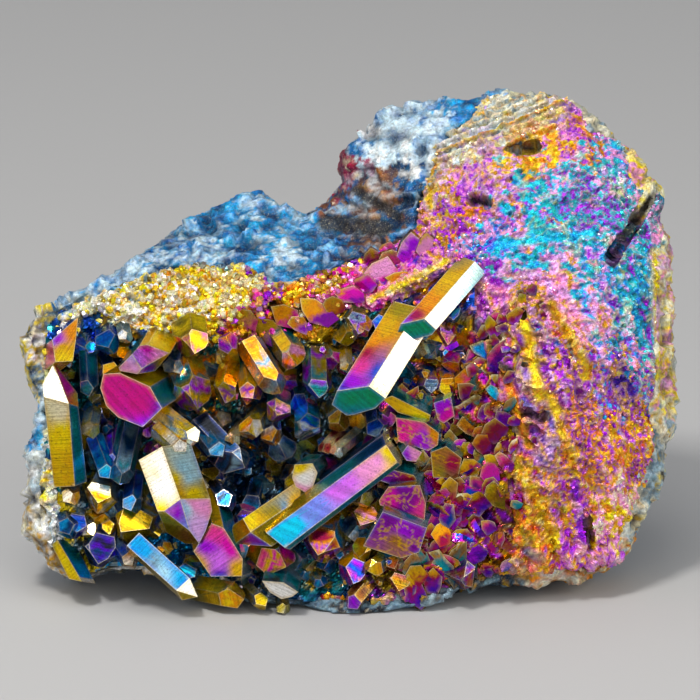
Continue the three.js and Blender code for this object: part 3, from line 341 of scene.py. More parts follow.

# Six-sided crystals with pointed ends: tip; root; radius; turn; colours of the end; of the sides.
# White and cream on the ends are painted highlights.
POINTS = [
    [(-24.6, -11, 1.5), (-28.6, -1, -7), 3.6, 10, "violet gold olive", "gold orange teal olive"],
    [(-25.2, -15.6, 3.8), (-32, -10.4, -1), 1.9, 0, "white cream", "yellow steel cream"],
    [(-27.2, -17.2, 4.2), (-32, -13, 0), 1.7, 25, "white", "yellow orange white"],
    [(-38.6, -22.5, 1), (-36.6, -12, -5), 1.9, 5, "steel teal", "teal steel navy"],
    [(-39.8, -21.6, 2), (-42.6, -15, -5), 1.6, 20, "azure cyan", "azure blue azure"],
    [(-42.6, -26.4, 3.6), (-40.6, -22, -7), 2.7, 15, "white orange yellow cream", "olive steel"],
    [(-38.4, -30.6, 3.4), (-33.6, -28, -7), 3.3, 0, "gold olive yellow", "blue olive steel"],
    [(-42, -36.5, 2), (-41, -29, -8), 3.2, 12, "dark navy indigo", "navy dark"],
    [(-16.6, -41.4, 3.4), (-27, -39.6, -5), 2.3, 25, "orange gold yellow", "olive gold steel"],
    [(-14, -42.6, 2.6), (-18, -39, -4), 1.4, 0, "yellow gold", "olive steel"],
    [(-9.6, -37.6, 4.6), (-16, -31, -5), 3, 0, "magenta gold rose", "gold olive orange"],
    [(-5.8, -35, 5), (-3, -28, -6), 3.3, 14, "burgundy orange violet", "orange azure olive"],
    [(0, -39.6, 4), (0.8, -32, -5), 2.3, 0, "violet blue magenta", "yellow gold pink"],
    [(-0.6, -43, 2.4), (5.6, -36, -4), 1.5, 20, "violet", "brown orange bronze"],
    [(8, -41.4, 2.4), (8, -35, -5), 2.2, 10, "orange gold rose", "gold olive"],
    [(1, -30.4, 4.4), (4, -26, -5), 2.9, 5, "pink orange gold", "gold orange cream"],
    [(1.6, -25.4, 3.4), (3, -22.6, -4), 1.7, 15, "yellow olive cream", "steel gold"],
    [(7.6, -36.6, 3), (5.6, -32, -4), 1.6, 0, "burgundy orange", "teal gold"],
    [(-5.4, -9.4, 2.2), (-5.6, -0.6, -5), 2.4, 20, "violet teal green", "teal violet olive"],
    [(-25.8, -2.2, 2.6), (-26.6, 4, -4), 3.1, 10, "gold magenta yellow", "gold olive yellow"],
    [(-11.2, -8.2, 2.4), (-17, 1, -3), 2.1, 12, "bronze steel", "orange steel bronze"],
    [(-21.4, -9.6, 1.6), (-19.6, -2, -7), 2.1, 0, "purple gold olive", "yellow orange teal"],
    [(-16.2, -8.4, 1.2), (-17.4, -2, -7), 1.9, 20, "orange purple pink", "gold teal"],
    [(-12, -11.6, 2), (-12, -8, -6), 2.3, 0, "pink violet gold", "teal pink"],
    [(-21.2, -18, 2.4), (-25, -13.2, -4), 1.7, 15, "azure pale_blue", "steel white azure"],
    [(-13, -15.4, 1), (-13.6, -11.6, -6), 1.9, 0, "orange steel", "dark steel"],
    # Its dark navy colours are painted shade, as this crystal lies in shadow.
    [(-16.4, -21.4, 1.4), (-25, -12.5, -5), 2.9, 10, "dark navy steel", "dark navy"],
    [(-10, -18.4, 0.6), (-13, -14, -7), 2.4, 0, "navy steel", "navy dark"],
    [(-20, -26, 1.4), (-22.6, -23, -7), 1.9, 5, "navy cobalt dark", "navy dark"],
    [(-40.4, 0.4, 0), (-40.6, 3, -7), 2, 0, "azure blue", "blue navy"],
    [(-43.4, -14.4, 0.6), (-43, -10.6, -6), 1.5, 0, "cream yellow", "steel yellow"],
    [(0.8, 1.8, 1), (1, 6, -5), 2.4, 10, "violet gold steel", "olive teal"],
    [(-36.4, -27, 1), (-36, -21.4, -7), 1.8, 0, "steel azure", "blue teal"],
    [(-46.6, -25.6, 1.6), (-46.6, -20.6, -6), 1.5, 10, "white gold", "steel orange"],
    [(-43.6, -8, -1), (-44.4, 2, -7), 1.7, 0, "teal navy", "navy teal"],
    [(-29.4, -3.8, 0.6), (-29, 0, -6), 1.7, 20, "steel white", "navy steel"],
    [(-7.4, -14.4, 1), (-7.4, -10, -10), 2.3, 0, "blue white teal", "teal azure"],
    [(-1.6, -12.4, 2), (-3, -9, -9), 2, 10, "olive bronze", "olive steel"],
    [(-46.6, -31, 2), (-48, -27, -5), 1.8, 0, "navy azure", "navy"],
    [(-20.6, 2.4, 1), (-19.6, -2, -7), 1.8, 0, "violet orange", "gold"],
    [(-8.2, -3.2, 2), (-11.8, 2.2, -5), 2.2, 15, "gold pink orange", "gold teal"],
    [(4.6, -14.6, 1.6), (4, -10.6, -5), 1.8, 0, "steel blue", "navy steel"],
    [(-36, -36, 2.4), (-39, -32, -5), 1.5, 10, "white orange", "blue steel"],
]
# Small crystals of the same kind, which the CAD part leaves out.
# White and cream on them are painted highlights too.
SMALL_POINTS = [
    [(-39.6, -19, 0.5), (-40, -13, -10), 1, 0, "periwinkle", "blue violet"],
    [(-11, -44, 1.8), (-11.6, -40, -4), 1.3, 10, "yellow cream", "steel gold"],
    [(-20, -15.4, 1.6), (-17.6, -12, -10), 1.3, 0, "cream orange", "cream gold"],
    [(-17, -13.6, 2.6), (-14.4, -10, -10), 1.9, 10, "white orange yellow", "olive yellow steel"],
    [(-37.4, 1.6, 0), (-38, 3.6, -5), 1.2, 15, "white steel", "steel"],
    [(-0.6, -3.6, 1.6), (-1, 1, -6), 1.1, 0, "white gold", "gold white"],
    [(-4.6, -17, 2), (-1, -13, -8), 1.2, 15, "burgundy", "burgundy cream"],
    [(-2.8, -17.4, 2.6), (2, -13.4, -7), 1.2, 0, "cream", "cream steel"],
]

# Colours of the hollow's small crystals and floor round a place u, v.
HOLLOW_ZONES = [
    (-45, -10, 6, "navy teal dark yellow"), (-44, -30, 6, "navy yellow steel white"),
    (-34, -16, 7, "steel teal navy cream"), (-25, -3, 6, "gold orange teal olive"),
    (-14, -15, 7, "dark navy steel orange"), (-18, -24, 6, "navy dark azure"),
    (-4, -10, 6, "teal steel olive navy"), (-10, -37, 6, "gold teal navy white"),
    (-34, -33, 6, "navy azure steel"), (12, -20, 7, "purple gold dark rose"),
    (20, -14, 7, "purple gold burgundy dark"), (20, -30, 7, "gold burgundy dark bronze"),
    (14, -36, 6, "gold olive purple teal"), (16, -2, 6, "gold orange blue violet"),
    (-38, 1, 5, "blue navy gold"), (0, 2, 5, "olive gold dark teal"),
]

# Colours of the massive quartz and of the rock: u, v, reach, and the colours that follow each other
# as the noise goes from its one end to its other.
QUARTZ_ZONES = [
    (-42, 8, 7, "steel yellow cream white yellow"),
    (-31, 9, 8, "steel yellow white gold cream yellow"),
    (-20, 10, 7, "steel gold yellow cream gold"), (-14, 6, 5, "gold orange violet yellow"),
    (-16, 3, 5, "purple orange gold magenta orange"), (-9, 8, 5, "gold yellow orange cream"),
    (-3, 10, 5, "gold pink magenta gold cream"), (-5, 4, 3, "gold orange purple"),
    (4, 17, 4, "azure violet pink"), (8, 13, 6, "violet magenta pink gold pink"),
    (13, 17, 4, "blue violet pink gold"), (18, 22, 6, "pink gold violet orange"),
    (14, 29, 5, "cream gold lilac cream gold"),
    (22, 27, 8, "violet pink gold lilac violet pink gold"),
    (19, 36, 5, "steel cream frost gold cream"), (27, 40, 5, "steel cream frost gold white"),
    (32, 36, 6, "gold orange yellow pink violet"), (39, 36, 5, "gold pink violet orange gold"),
    (30, 22, 7, "teal azure turquoise cyan violet gold"),
    (39, 27, 8, "teal violet turquoise pink cyan turquoise frost"),
    (44, 31, 5, "teal lilac turquoise azure pink cyan"),
    (47, 21, 6, "teal violet turquoise pink steel cyan"),
    (40, 15, 7, "violet lilac azure turquoise pink lilac"),
    (23, 18, 5, "turquoise violet azure pink cyan"),
    (31, 12, 8, "violet mauve lilac pink gold mauve"), (22, 8, 5, "violet pink gold"),
    (38, 5, 7, "indigo violet azure lilac pink gold"),
    (46, 9, 7, "violet teal azure turquoise frost pink"),
    (50, 0, 6, "azure violet turquoise pink gold"),
    (30, 0, 6, "violet mauve gold purple lilac gold"),
    (36, -4, 6, "purple mauve violet gold burgundy"),
    (43, -5, 7, "indigo mauve gold violet azure pink"),
    (30, -14, 7, "violet indigo lilac purple gold mauve"),
    (38, -16, 8, "mauve gold purple orange violet gold"),
    (46, -16, 6, "bronze gold violet orange gold pink"),
    (27, -22, 6, "olive gold burgundy violet gold"),
    (37, -25, 6, "purple gold orange violet gold pink"),
    (44, -26, 6, "gold yellow pink cream violet"), (38, -33, 6, "gold pink violet orange cream"),
    (30, -34, 6, "olive gold orange burgundy gold"), (22, -35, 5, "orange gold purple"),
    (-49.5, -25, 6, "white frost white cream yellow"), (-49.5, 0, 6, "cream white yellow cream"),
]
ROCK_ZONES = [
    (-40, 13, 8, "navy cobalt frost azure"), (-30, 18, 8, "navy cobalt frost azure steel"),
    (-20, 23, 8, "navy cobalt azure frost"), (-12, 18, 6, "cobalt azure frost steel"),
    (-5, 20, 6, "navy cobalt azure frost"), (-2, 24, 5, "dark navy brown cobalt navy"),
    (4, 24.5, 5.5, "dark brown bronze brown dark"), (-1, 32, 4, "steel burgundy cream"),
    (6, 34, 6, "cobalt frost white frost"), (12, 38, 6, "cobalt frost white"),
    (22, 42, 7, "navy cobalt azure frost"), (34, 43, 6, "steel cream steel"),
    (9, 25, 5, "dark navy cobalt azure"), (-53, 2, 7, "cream white yellow steel gold"),
    (-52, -12, 5, "navy azure frost white"), (-51, -24, 6, "white frost white cream white"),
    (-51, -33, 7, "yellow cream white gold white"), (54, 22, 7, "gold pink yellow cream teal"),
    (54, 4, 8, "gold cream yellow pink frost"), (51, -24, 8, "gold cream steel yellow"),
    (20, -41, 8, "navy steel dark gold"), (4, -45, 8, "navy steel dark cream"),
    (40, -38, 8, "gold cream orange gold pink"),
]
ROCK_BEHIND = "navy cobalt steel cobalt bronze frost"  # the unseen back's colours

# Colours of the seams in the layered band at the top of the quartz, and the band itself: two ends
# u, v and half the width.
SEAMS = "steel cream steel gold frost white olive"
STRATA = ((14, 34), (34, 41.5), 5.5)

# Colours of the ends of the hollow's unnamed crystals.
# Their white and cream are painted highlights.
END_COATS = [
    "gold orange yellow", "violet magenta pink", "azure pale_blue steel", "yellow cream white",
    "orange magenta violet", "azure blue indigo", "white cream gold", "navy azure dark",
    "yellow gold olive", "frost steel navy", "yellow gold orange", "indigo cyan blue",
]

# Flat shingles on the hollow's right and above it: u, v, radius, stretch, turn, and the colours
# from the upper left to the lower right.
SHINGLES = [
    (11.4, -8.2, 1.1, 1.1, 0.4, "gold rose magenta"),
    (19.6, -5, 2.6, 1.1, 2.2, "gold orange rose burgundy"),
    (23.8, -7, 1.1, 1.3, 4.8, "teal cyan azure"), (22.6, -10.4, 1.5, 1, 1.2, "gold purple violet"),
    (25.4, -11.4, 1.6, 1, 3.1, "gold purple indigo"),
    (24, -13.6, 1.7, 1.3, 5.2, "gold burgundy purple"),
    (22.8, -15.8, 2, 1.2, 0.8, "orange burgundy purple"),
    (20, -12.8, 1.8, 1.4, 5.6, "gold orange burgundy"),
    (23.2, -20.3, 1.9, 1, 2.6, "orange rose magenta violet"),
    (19.6, -22.4, 1.5, 1.1, 1.6, "gold violet purple"),
    (16.6, -23.8, 1.7, 1.5, 3.6, "gold bronze burgundy"),
    (20, -33.8, 2, 1.5, 5.9, "cream violet indigo"),
    (15.4, -30.6, 1.8, 1.4, 4.4, "gold orange burgundy"), (26, -35.8, 1.1, 1, 2, "gold pink blue"),
    (16.4, 1.4, 1.9, 1.9, 0.9, "teal gold violet indigo"),
    (18.6, -1.6, 1.9, 2, 0.7, "yellow gold orange"), (23, 0.2, 1.4, 2.2, 1, "olive azure blue"),
    (14.6, -24.6, 1.4, 1.4, 2, "gold rose violet"), (5.4, 13, 2.6, 1.4, 0.5, "gold pink magenta"),
    (10.2, 16, 2.2, 1.6, 3.6, "pink violet magenta"),
    (-14.4, 3, 2.4, 1.8, 5.6, "orange gold violet"), (-5.6, 6.6, 2, 1.6, 0.2, "gold orange purple"),
    (2.4, 10.8, 1.8, 1.6, 0.5, "gold magenta violet"),
    (0, 9, 1.5, 1.6, 0.6, "orange magenta purple"), (7.6, 14.8, 1.7, 1.8, 0.4, "gold rose magenta"),
    (3.6, 14.6, 1.6, 1.5, 3.4, "gold magenta violet"),
    (8.8, 12, 1.5, 1.7, 0.7, "gold orange magenta"),
    (-2.6, 7.4, 1.4, 1.5, 0.4, "gold orange burgundy"),
    (12.8, 17.2, 1.5, 1.5, 3.6, "gold pink violet"), (6.4, 17, 1.2, 1.6, 0.5, "gold rose violet"),
    (-11, 5.8, 1.8, 1.6, 5.8, "gold orange magenta"),
    (-17.6, 5.2, 1.7, 1.6, 5.6, "orange gold rose"),
    (-8.6, 4.2, 1.5, 1.4, 5.6, "gold orange violet"),
]

# Colours of the other shingles, and from rim to middle of those of the mosaic.
SHINGLE_COATS = [
    "gold rose purple indigo", "gold burgundy purple burgundy", "olive gold burgundy violet",
    "gold burgundy purple indigo", "yellow gold bronze olive", "gold orange crimson purple",
    "gold rose burgundy purple", "olive bronze teal navy", "cream gold burgundy indigo",
    "gold magenta violet blue", "dark bronze burgundy purple",
]

# Streaks of colour on the quartz: two ends u, v; about half the width; colours.
STREAKS = [
    ((28.6, 6.5), (31.4, -7.5), 1.1, "gold yellow orange"),
    ((33.4, 7.6), (39.4, -3), 1, "olive gold bronze"),
    ((25.6, -3), (29.6, -16), 0.9, "gold orange yellow"),
    ((27.6, -18.6), (34, -31), 1.5, "yellow gold cream"),
    ((37.4, -22), (39, -32), 0.9, "blue violet indigo"),
    ((33, -7), (37.4, -20), 0.9, "burgundy gold purple"),
    ((24.5, 17.5), (41, 19.5), 0.9, "turquoise cyan azure"),
    ((3.4, 8.4), (16.4, 14.8), 0.7, "gold yellow cream"),
    ((14, 34), (13.4, 24), 0.9, "cream gold steel"),
    ((51.5, 16), (52.6, -8), 1.3, "gold yellow pink"),
]

# Slits and pits of the quartz, and last the two creases of the rock beside its knob, which painted
# shade darkens: two ends u, v and half the width.
SLITS = [
    ((50.6, 25.4), (43.8, 15.6), 0.85), ((27.4, 33.8), (31, 34.4), 0.75),
    ((20.6, 25.2), (22.8, 24.6), 0.65), ((39.6, -28.4), (40.2, -33), 0.35),
    ((29.2, -10.4), (31.8, -11.2), 0.6), ((27, 5.2), (28.6, 6), 0.5),
    ((-12.6, 7), (-9.8, 3.8), 0.8), ((23.2, -1.4), (26.8, -3.6), 0.8),
    ((52.4, -20.4), (52.8, -22), 0.4), ((-4, 21.6), (5.5, 20.6), 1.9), ((1, 27), (8, 22.6), 1.1),
]

# ---- from the face frame to the part ----


def to_part(points):
    """Points u, v, w in millimetres become points of the part in metres."""
    u, v, w = np.asarray(points, float).T
    y = v * math.sin(LEAN) - w * math.cos(LEAN) - CENTRE[1]
    z = v * math.cos(LEAN) + w * math.sin(LEAN) + BASE_DEPTH
    return np.stack([u - CENTRE[0], y, z], 1) * MM


def to_face_way(ways):
    """Directions of the part in the face frame."""
    x, y, z = np.asarray(ways, float).T
    v = y * math.sin(LEAN) + z * math.cos(LEAN)
    w = z * math.sin(LEAN) - y * math.cos(LEAN)
    return np.stack([x, v, w], 1)


def to_face(points):
    """Points of the part in metres become points u, v, w in millimetres."""
    x, y, z = np.asarray(points, float).T / MM
    y = y + CENTRE[1]
    z = z - BASE_DEPTH
    v = y * math.sin(LEAN) + z * math.cos(LEAN)
    w = z * math.sin(LEAN) - y * math.cos(LEAN)
    return np.stack([x + CENTRE[0], v, w], 1)


# ---- numbers and noise ----
# The salt of a noise only makes it differ from the other noises.


def generator(seed):
    """Park and Miller's generator, which the CAD part draws its crystals with."""
    state = [seed]

    def draw():
        state[0] = state[0] * 16807 % 2147483647
        return state[0] / 2147483647

    return draw


def lattice_noise(x, y):
    """The CAD part's smooth noise in the range -1 to 1."""

    def cell(i, j):
        s = np.sin(i * 127.1 + j * 311.7) * 4375.85
        return 2 * (s - np.floor(s)) - 1

    i, j = np.floor(x), np.floor(y)
    s, t = x - i, y - j
    s, t = s * s * (3 - 2 * s), t * t * (3 - 2 * t)
    low = cell(i, j) * (1 - s) + cell(i + 1, j) * s
    high = cell(i, j + 1) * (1 - s) + cell(i + 1, j + 1) * s
    return low * (1 - t) + high * t


def scatter(cells, salt):
    """A number from 0 to 1 for each whole-number cell, the same each time."""
    h = cells[..., 0] * 73856093 ^ cells[..., 1] * 19349663 ^ cells[..., 2] * 83492791
    h = (h ^ salt * 2654435761) & 0xFFFFFFFF
    h = (h ^ (h >> 15)) * 2246822519 & 0xFFFFFFFF
    h = (h ^ (h >> 13)) * 3266489917 & 0xFFFFFFFF
    return (h ^ (h >> 16)) / 4294967295


def smooth_noise(points, size, salt):
    """Smooth noise in the range -1 to 1 with lumps of a size in millimetres."""
    q = np.asarray(points) / size
    cell = np.floor(q).astype(np.int64)
    f = q - cell
    f = f * f * (3 - 2 * f)
    total = np.zeros(len(q))
    for corner in np.ndindex(2, 2, 2):
        weight = np.prod(np.where(np.array(corner) == 1, f, 1 - f), 1)
        total += weight * scatter(cell + np.array(corner), salt)
    return 2 * total - 1


def layered_noise(points, size, salt, layers=4):
    """Noise with finer and fainter layers, in the range of about -1 to 1."""
    total = np.zeros(len(points))
    for layer in range(layers):
        total += smooth_noise(points, size * 0.5**layer, salt + layer) * 0.55**layer
    return total / 1.6


def cell_noise(points, size, salt):
    """Cells of a size: the distance to the nearest centre, how much farther the next one is, a
    number for the cell and the way from its centre, all in millimetres."""
    q = np.asarray(points) / size
    cell = np.floor(q).astype(np.int64)
    nearest = np.full(len(q), 9.0)
    second = np.full(len(q), 9.0)
    name = np.zeros(len(q))
    arm = np.zeros_like(q)
    for step in np.ndindex(3, 3, 3):
        other = cell + np.array(step) - 1
        centre = other + np.stack([scatter(other, salt + k) for k in (1, 2, 3)], 1)
        away = q - centre
        distance = np.linalg.norm(away, axis=1)
        closer = distance < nearest
        second = np.where(closer, nearest, np.minimum(second, distance))
        name = np.where(closer, scatter(other, salt + 4), name)
        arm = np.where(closer[:, None], away, arm)
        nearest = np.where(closer, distance, nearest)
    return nearest * size, (second - nearest) * size, name, arm * size


def chipped(points, size, salt):
    """Cells that each lean their own way, like broken stone: the height in millimetres, the cells'
    gaps and their numbers."""
    _, gap, name, arm = cell_noise(points, size, salt)
    return np.sum(tilts(name) * arm, 1), gap, name


def tilts(name):
    """A way to lean for each cell, from its number."""
    angle = name * 6361.7 % 1 * 2 * math.pi
    height = name * 1597.3 % 1 * 2 - 1
    flat = np.sqrt(1 - height * height)
    return np.stack([flat * np.cos(angle), flat * np.sin(angle), height], 1)


# ---- the specimen's surfaces ----


def inside(outline, u, v):
    """Distance to a closed outline, positive inside, and the depth at its nearest place."""
    corners = np.array([tuple(corner) + (0,) * (3 - len(corner)) for corner in outline], float)
    nearest = np.full(len(u), 1e9)
    depth = np.zeros(len(u))
    within = np.zeros(len(u), bool)
    for (ax, ay, aw), (bx, by, bw) in zip(corners, np.roll(corners, -1, 0)):
        along = ((u - ax) * (bx - ax) + (v - ay) * (by - ay)) / ((bx - ax) ** 2 + (by - ay) ** 2)
        t = np.clip(along, 0, 1)
        distance = np.hypot(u - ax - t * (bx - ax), v - ay - t * (by - ay))
        depth = np.where(distance < nearest, aw + t * (bw - aw), depth)
        nearest = np.minimum(nearest, distance)
        if ay != by:
            crosses = ((ay > v) != (by > v)) & (u < ax + (v - ay) / (by - ay) * (bx - ax))
            within ^= crosses
    return np.where(within, nearest, -nearest), depth


def face(u, v):
    """Depth w of the specimen's front, with the hollow's crust but without its crystals."""
    distance, rim = inside(OUTLINE, u, v)
    faint = 1e-9  # what every reading weighs at least, so that the weights never vanish
    total = np.full(len(u), faint * len(FRONT))
    depth = faint * sum(w for _, _, w in FRONT) * np.ones(len(u))
    for x, y, w in FRONT:
        weight = np.exp(-((u - x) ** 2 + (v - y) ** 2) / REACH**2)
        total += weight
        depth += weight * w
    open_face = depth / total
    open_face += LUMP * lattice_noise(u / LUMP_SPACING + 3, v / LUMP_SPACING)
    open_face += GRAIN * lattice_noise(u / GRAIN_SPACING, v / GRAIN_SPACING + 5)
    t = np.clip(1 - distance / FRONT_ROUNDING, 0, 1)
    return rim + RIM_BAND + (open_face - rim - RIM_BAND) * np.sqrt(1 - t * t)


def face_at(u, v):
    """The front's depth at one place."""
    return float(face(np.array([u]), np.array([v]))[0])


def inside_at(outline, u, v):
    """How far one place is inside a closed outline."""
    return inside(outline, np.array([u]), np.array([v]))[0][0]


# ---- crystals ----

LETTERS = "abcdefghijklmnop"


def unit(vector):
    """A vector of length 1."""
    return vector / np.linalg.norm(vector)


def gem(planes):
    """The convex solid behind all of the planes (normal, distance): a list of its facets, each the
    number of its plane and its corners in order."""
    normals = np.array([normal for normal, _ in planes])
    distances = np.array([distance for _, distance in planes])
    rings = [[] for _ in planes]
    count = len(planes)
    for i in range(count):
        for j in range(i + 1, count):
            for k in range(j + 1, count):
                three = normals[[i, j, k]]
                if abs(np.linalg.det(three)) < 1e-4:
                    continue
                corner = np.linalg.solve(three, distances[[i, j, k]])
                if np.any(normals @ corner > distances + 1e-3):
                    continue
                for plane in (i, j, k):
                    near = [np.linalg.norm(corner - other) < 0.05 for other in rings[plane]]
                    if not any(near):
                        rings[plane].append(corner)
    facets = []
    for plane, ring in enumerate(rings):
        if len(ring) < 3:
            continue
        middle = np.mean(ring, 0)
        right = unit(ring[0] - middle)
        up = np.cross(normals[plane], right)
        # The tiny step keeps rounding from putting a corner right opposite at either end.
        ring.sort(key=lambda c: math.atan2((c - middle) @ up + 1e-9, (c - middle) @ right))
        facets.append((plane, np.array(ring)))
    return facets


def facet_plane(p, q, r, middle):
    """A plane through three points that faces away from the middle."""
    normal = unit(np.cross(q - p, r - p))
    if normal @ (middle - p) > 0:
        normal = -normal
    return normal, normal @ p


def shaped_crystal(entry):
    """A crystal from the CRYSTALS list: its facets and each plane's colours."""
    _, way, thickness, recipe, corners = entry
    root = np.array(way, float)
    points = np.array(corners, float)
    middle = points.mean(0) + 0.2 * root
    closing = unit(root)
    planes = [(closing, closing @ middle + 0.8 * np.linalg.norm(root))]
    coats = [None]
    for word, colours in recipe.items():
        named = [points[LETTERS.index(letter)] for letter in word if letter in LETTERS]
        p = named[0]
        q = named[1] if len(named) > 1 else p + root
        along = np.array([0, 0, -1.0]) if "|" in word else root
        r = named[2] if len(named) > 2 else p + along
        plane = facet_plane(p, q, r, middle)
        planes.append(plane)
        coats.append(colours)
        if "=" in word:
            planes.append((-plane[0], thickness - plane[1]))
            coats.append(None)
    return gem(planes), coats


def plate_crystal(entry):
    """A crystal from the PLATES list, in the form that shaped_crystal gives."""
    name, way, (depth, slope_u, slope_v), colours, corners = entry
    cu, cv = np.mean(corners, 0)
    points = [(u, v, depth + slope_u * (u - cu) + slope_v * (v - cv)) for u, v in corners]
    recipe = {"ace": colours}
    for i in range(len(points)):
        recipe[LETTERS[i] + LETTERS[(i + 1) % len(points)]] = None
    return shaped_crystal([name, way, 0, recipe, points])


def pointed_planes(tip, root, radius, turn, draw, six_from=BIG_CRYSTAL):
    """The planes of a six-sided crystal whose end facets reach unequally far: first its foot, then
    sides and end facets, each with True for an end facet."""
    end, foot = np.array(tip, float), np.array(root, float)
    axis = unit(end - foot)
    side = unit(np.cross([0, 1, 0], axis))
    other = np.cross(axis, side)
    planes = [(-axis, -axis @ foot)]
    ends = [False]
    pitch = math.radians(52)
    for k in range(6):
        angle = math.radians(turn) + k * math.pi / 3
        out = side * math.cos(angle) + other * math.sin(angle)
        reach = radius * (0.8 + 0.25 * draw())
        planes.append((out, out @ (end - axis * radius) + reach))
        ends.append(False)
        if k % 2 and radius < six_from:
            continue
        slope = axis * math.cos(pitch) + out * math.sin(pitch)
        drop = 0.2 + 0.4 * draw() if k % 2 else 0.2 * draw()
        planes.append((slope, slope @ end - radius * drop))
        ends.append(True)
    return planes, ends


# ---- colours of the coating ----


def colour(name):
    """A colour of the palette."""
    return np.array(PALETTE[name])


def ramp(names, t):
    """Colours along a row of palette names, for numbers from 0 to 1."""
    row = np.array([PALETTE[name] for name in names])
    if len(row) == 1:
        return np.tile(row, (len(t), 1))
    place = np.clip(t, 0, 0.9999) * (len(row) - 1)
    step = place.astype(int)
    part = np.clip((place - step - 0.5) * 1.8 + 0.5, 0, 1)[:, None]
    return row[step] * (1 - part) + row[step + 1] * part


def mixed(tint, shade, share):
    """Colours with a share of another shade laid over them, point by point."""
    return tint * (1 - share[:, None]) + shade * share[:, None]


def anchored(points, colours):
    """Colours at points from colours felt at places u, v."""
    if len(colours) == 1:
        return np.tile(colour(colours[0][2]), (len(points), 1))
    total = np.zeros((len(points), 3))
    weights = np.zeros(len(points))
    shift = 0.7 * np.stack([smooth_noise(points, 2.4, 5), smooth_noise(points, 2.4, 6)], 1)
    for u, v, name in colours:
        away = np.hypot(points[:, 0] + shift[:, 0] - u, points[:, 1] + shift[:, 1] - v)
        weight = 1 / (away + 0.25) ** 3.2
        total += weight[:, None] * colour(name)
        weights += weight
    return total / weights[:, None]


def slanted(points):
    """Points drawn together along the way in which the massive quartz is ridged."""
    u, v, w = points.T
    return np.stack([(0.5 * u - 0.87 * v) / 2, 0.87 * u + 0.5 * v, w], 1)


def zone_colours(points, zones, salt, patch, sharp=3.0, banded=None, lift=0):
    """Colours from the nearest zones, in patches of a size and in bands sharp times as wide. The
    bands are read at the places in banded; lift moves the colours along the zone's row."""
    banded = points if banded is None else banded
    warp = np.stack([layered_noise(points, 7, salt + k, 4) for k in range(2)], 1) * 5
    name = cell_noise(points, patch, salt + 9)[2]
    best = np.full(len(points), -1e9)
    chosen = np.zeros(len(points), int)
    for number, (u, v, reach, _) in enumerate(zones):
        away = np.hypot(points[:, 0] + warp[:, 0] - u, points[:, 1] + warp[:, 1] - v) / reach
        score = -away + 1.1 * (name * (7.3 + number) % 1)
        chosen = np.where(score > best, number, chosen)
        best = np.maximum(best, score)
    band = layered_noise(banded, patch * sharp, salt + 20, 4)
    grain = layered_noise(points, patch * 0.7, salt + 30, 2)
    contour = np.abs((2.4 * layered_noise(banded, patch * 4.5, salt + 40, 4)) % 2 - 1)
    t = 0.14 + 0.62 * contour + 0.3 * band + 0.2 * grain + 0.2 * (name - 0.5) + lift
    result = np.zeros((len(points), 3))
    for number, zone in enumerate(zones):
        here = chosen == number
        if here.any():
            result[here] = ramp(zone[3].split(), t[here])
    return result


# ---- meshes made of facets ----


def vectors(mesh, name):
    """The places ("co") or the normals ("normal") of a mesh's vertices, one row each."""
    rows = np.empty(len(mesh.vertices) * 3)
    mesh.vertices.foreach_get(name, rows)
    return rows.reshape(-1, 3)


def new_store():
    """An empty collection of points, faces, colours and places along the crystals' axes."""
    return {"points": [], "faces": [], "tint": [], "along": [], "count": 0}


def fan(ring, stops, lengths, ways, step, rim, first):
    """A facet as fine strips round its middle, with a narrow one along its rim: blocks of points,
    and faces whose points are counted from first."""
    middle = ring.mean(0)
    feet = ring + ways * np.sum((middle - ring) * ways, 1)[:, None]
    heights = np.linalg.norm(middle - feet, axis=1)
    blocks = []
    faces = []
    for start, stop, length, height in zip(ring, stops, lengths, heights):
        if length < SHORT or height < SHORT:
            continue
        across = max(1, int(round(length / step)))
        inner = max(0.05, 1 - rim / height)
        levels = np.append(np.linspace(0, inner, max(2, int(height / step) + 1)), 1)
        t = np.linspace(0, 1, across + 1)[:, None]
        outer = start * (1 - t) + stop * t
        grid = middle + levels[:, None, None] * (outer - middle)[None]
        for j in range(len(levels) - 1):
            for i in range(across):
                a = first + j * (across + 1) + i
                b, c, d = a + 1, a + across + 2, a + across + 1
                faces.append((a, d, c) if j == 0 else (a, d, c, b))
        blocks.append(grid.reshape(-1, 3))
        first += len(blocks[-1])
    return blocks, faces


def add_facet(store, ring, step, rim, coat, axis=(0, 0, 0)):
    """Adds a flat facet with a mesh spacing of step and a rim of a width. coat gives the colours
    for points and their distances to the rim; the crystal's growth lines cross its axis."""
    stops = np.roll(ring, -1, 0)
    lengths = np.linalg.norm(stops - ring, axis=1)
    ways = (stops - ring) / np.maximum(lengths, 1e-9)[:, None]
    blocks, faces = fan(ring, stops, lengths, ways, step, rim, store["count"])
    if not blocks:
        return
    points = np.concatenate(blocks)
    away = np.full(len(points), 1e9)
    for start, way in zip(ring[lengths >= SHORT], ways[lengths >= SHORT]):
        arm = points - start
        foot = arm - np.sum(arm * way, 1)[:, None] * way
        away = np.minimum(away, np.linalg.norm(foot, axis=1))
    store["points"].append(points)
    store["faces"].extend(faces)
    store["tint"].append(coat(points, away))
    store["along"].append(points @ np.array(axis, float))
    store["count"] += len(points)


def paint_root_shade(points, tint):
    """Paints shade between the crystals: darkens the colour towards their roots."""
    above = points[:, 2] - face(points[:, 0], points[:, 1])
    open_share = np.clip((above - ROOT_LEVEL) / ROOT_REACH, 0, 1)[:, None]
    noise = 0.25 * smooth_noise(points, 1.6, 61)[:, None]
    share = np.clip(open_share + noise * (1 - open_share), 0, 1)
    dark = colour("teal") * 0.5 + colour("dark") * 0.5
    return tint * (0.3 + 0.7 * share) + dark * 0.5 * (1 - share)


def rimmed(tint, away, width, shade, strength):
    """Lays a rim of another shade along a facet's edges; in cream or steel it is a painted edge
    highlight.
    """
    return mixed(tint, shade, strength * np.clip(1 - away / width, 0, 1) ** 0.8)


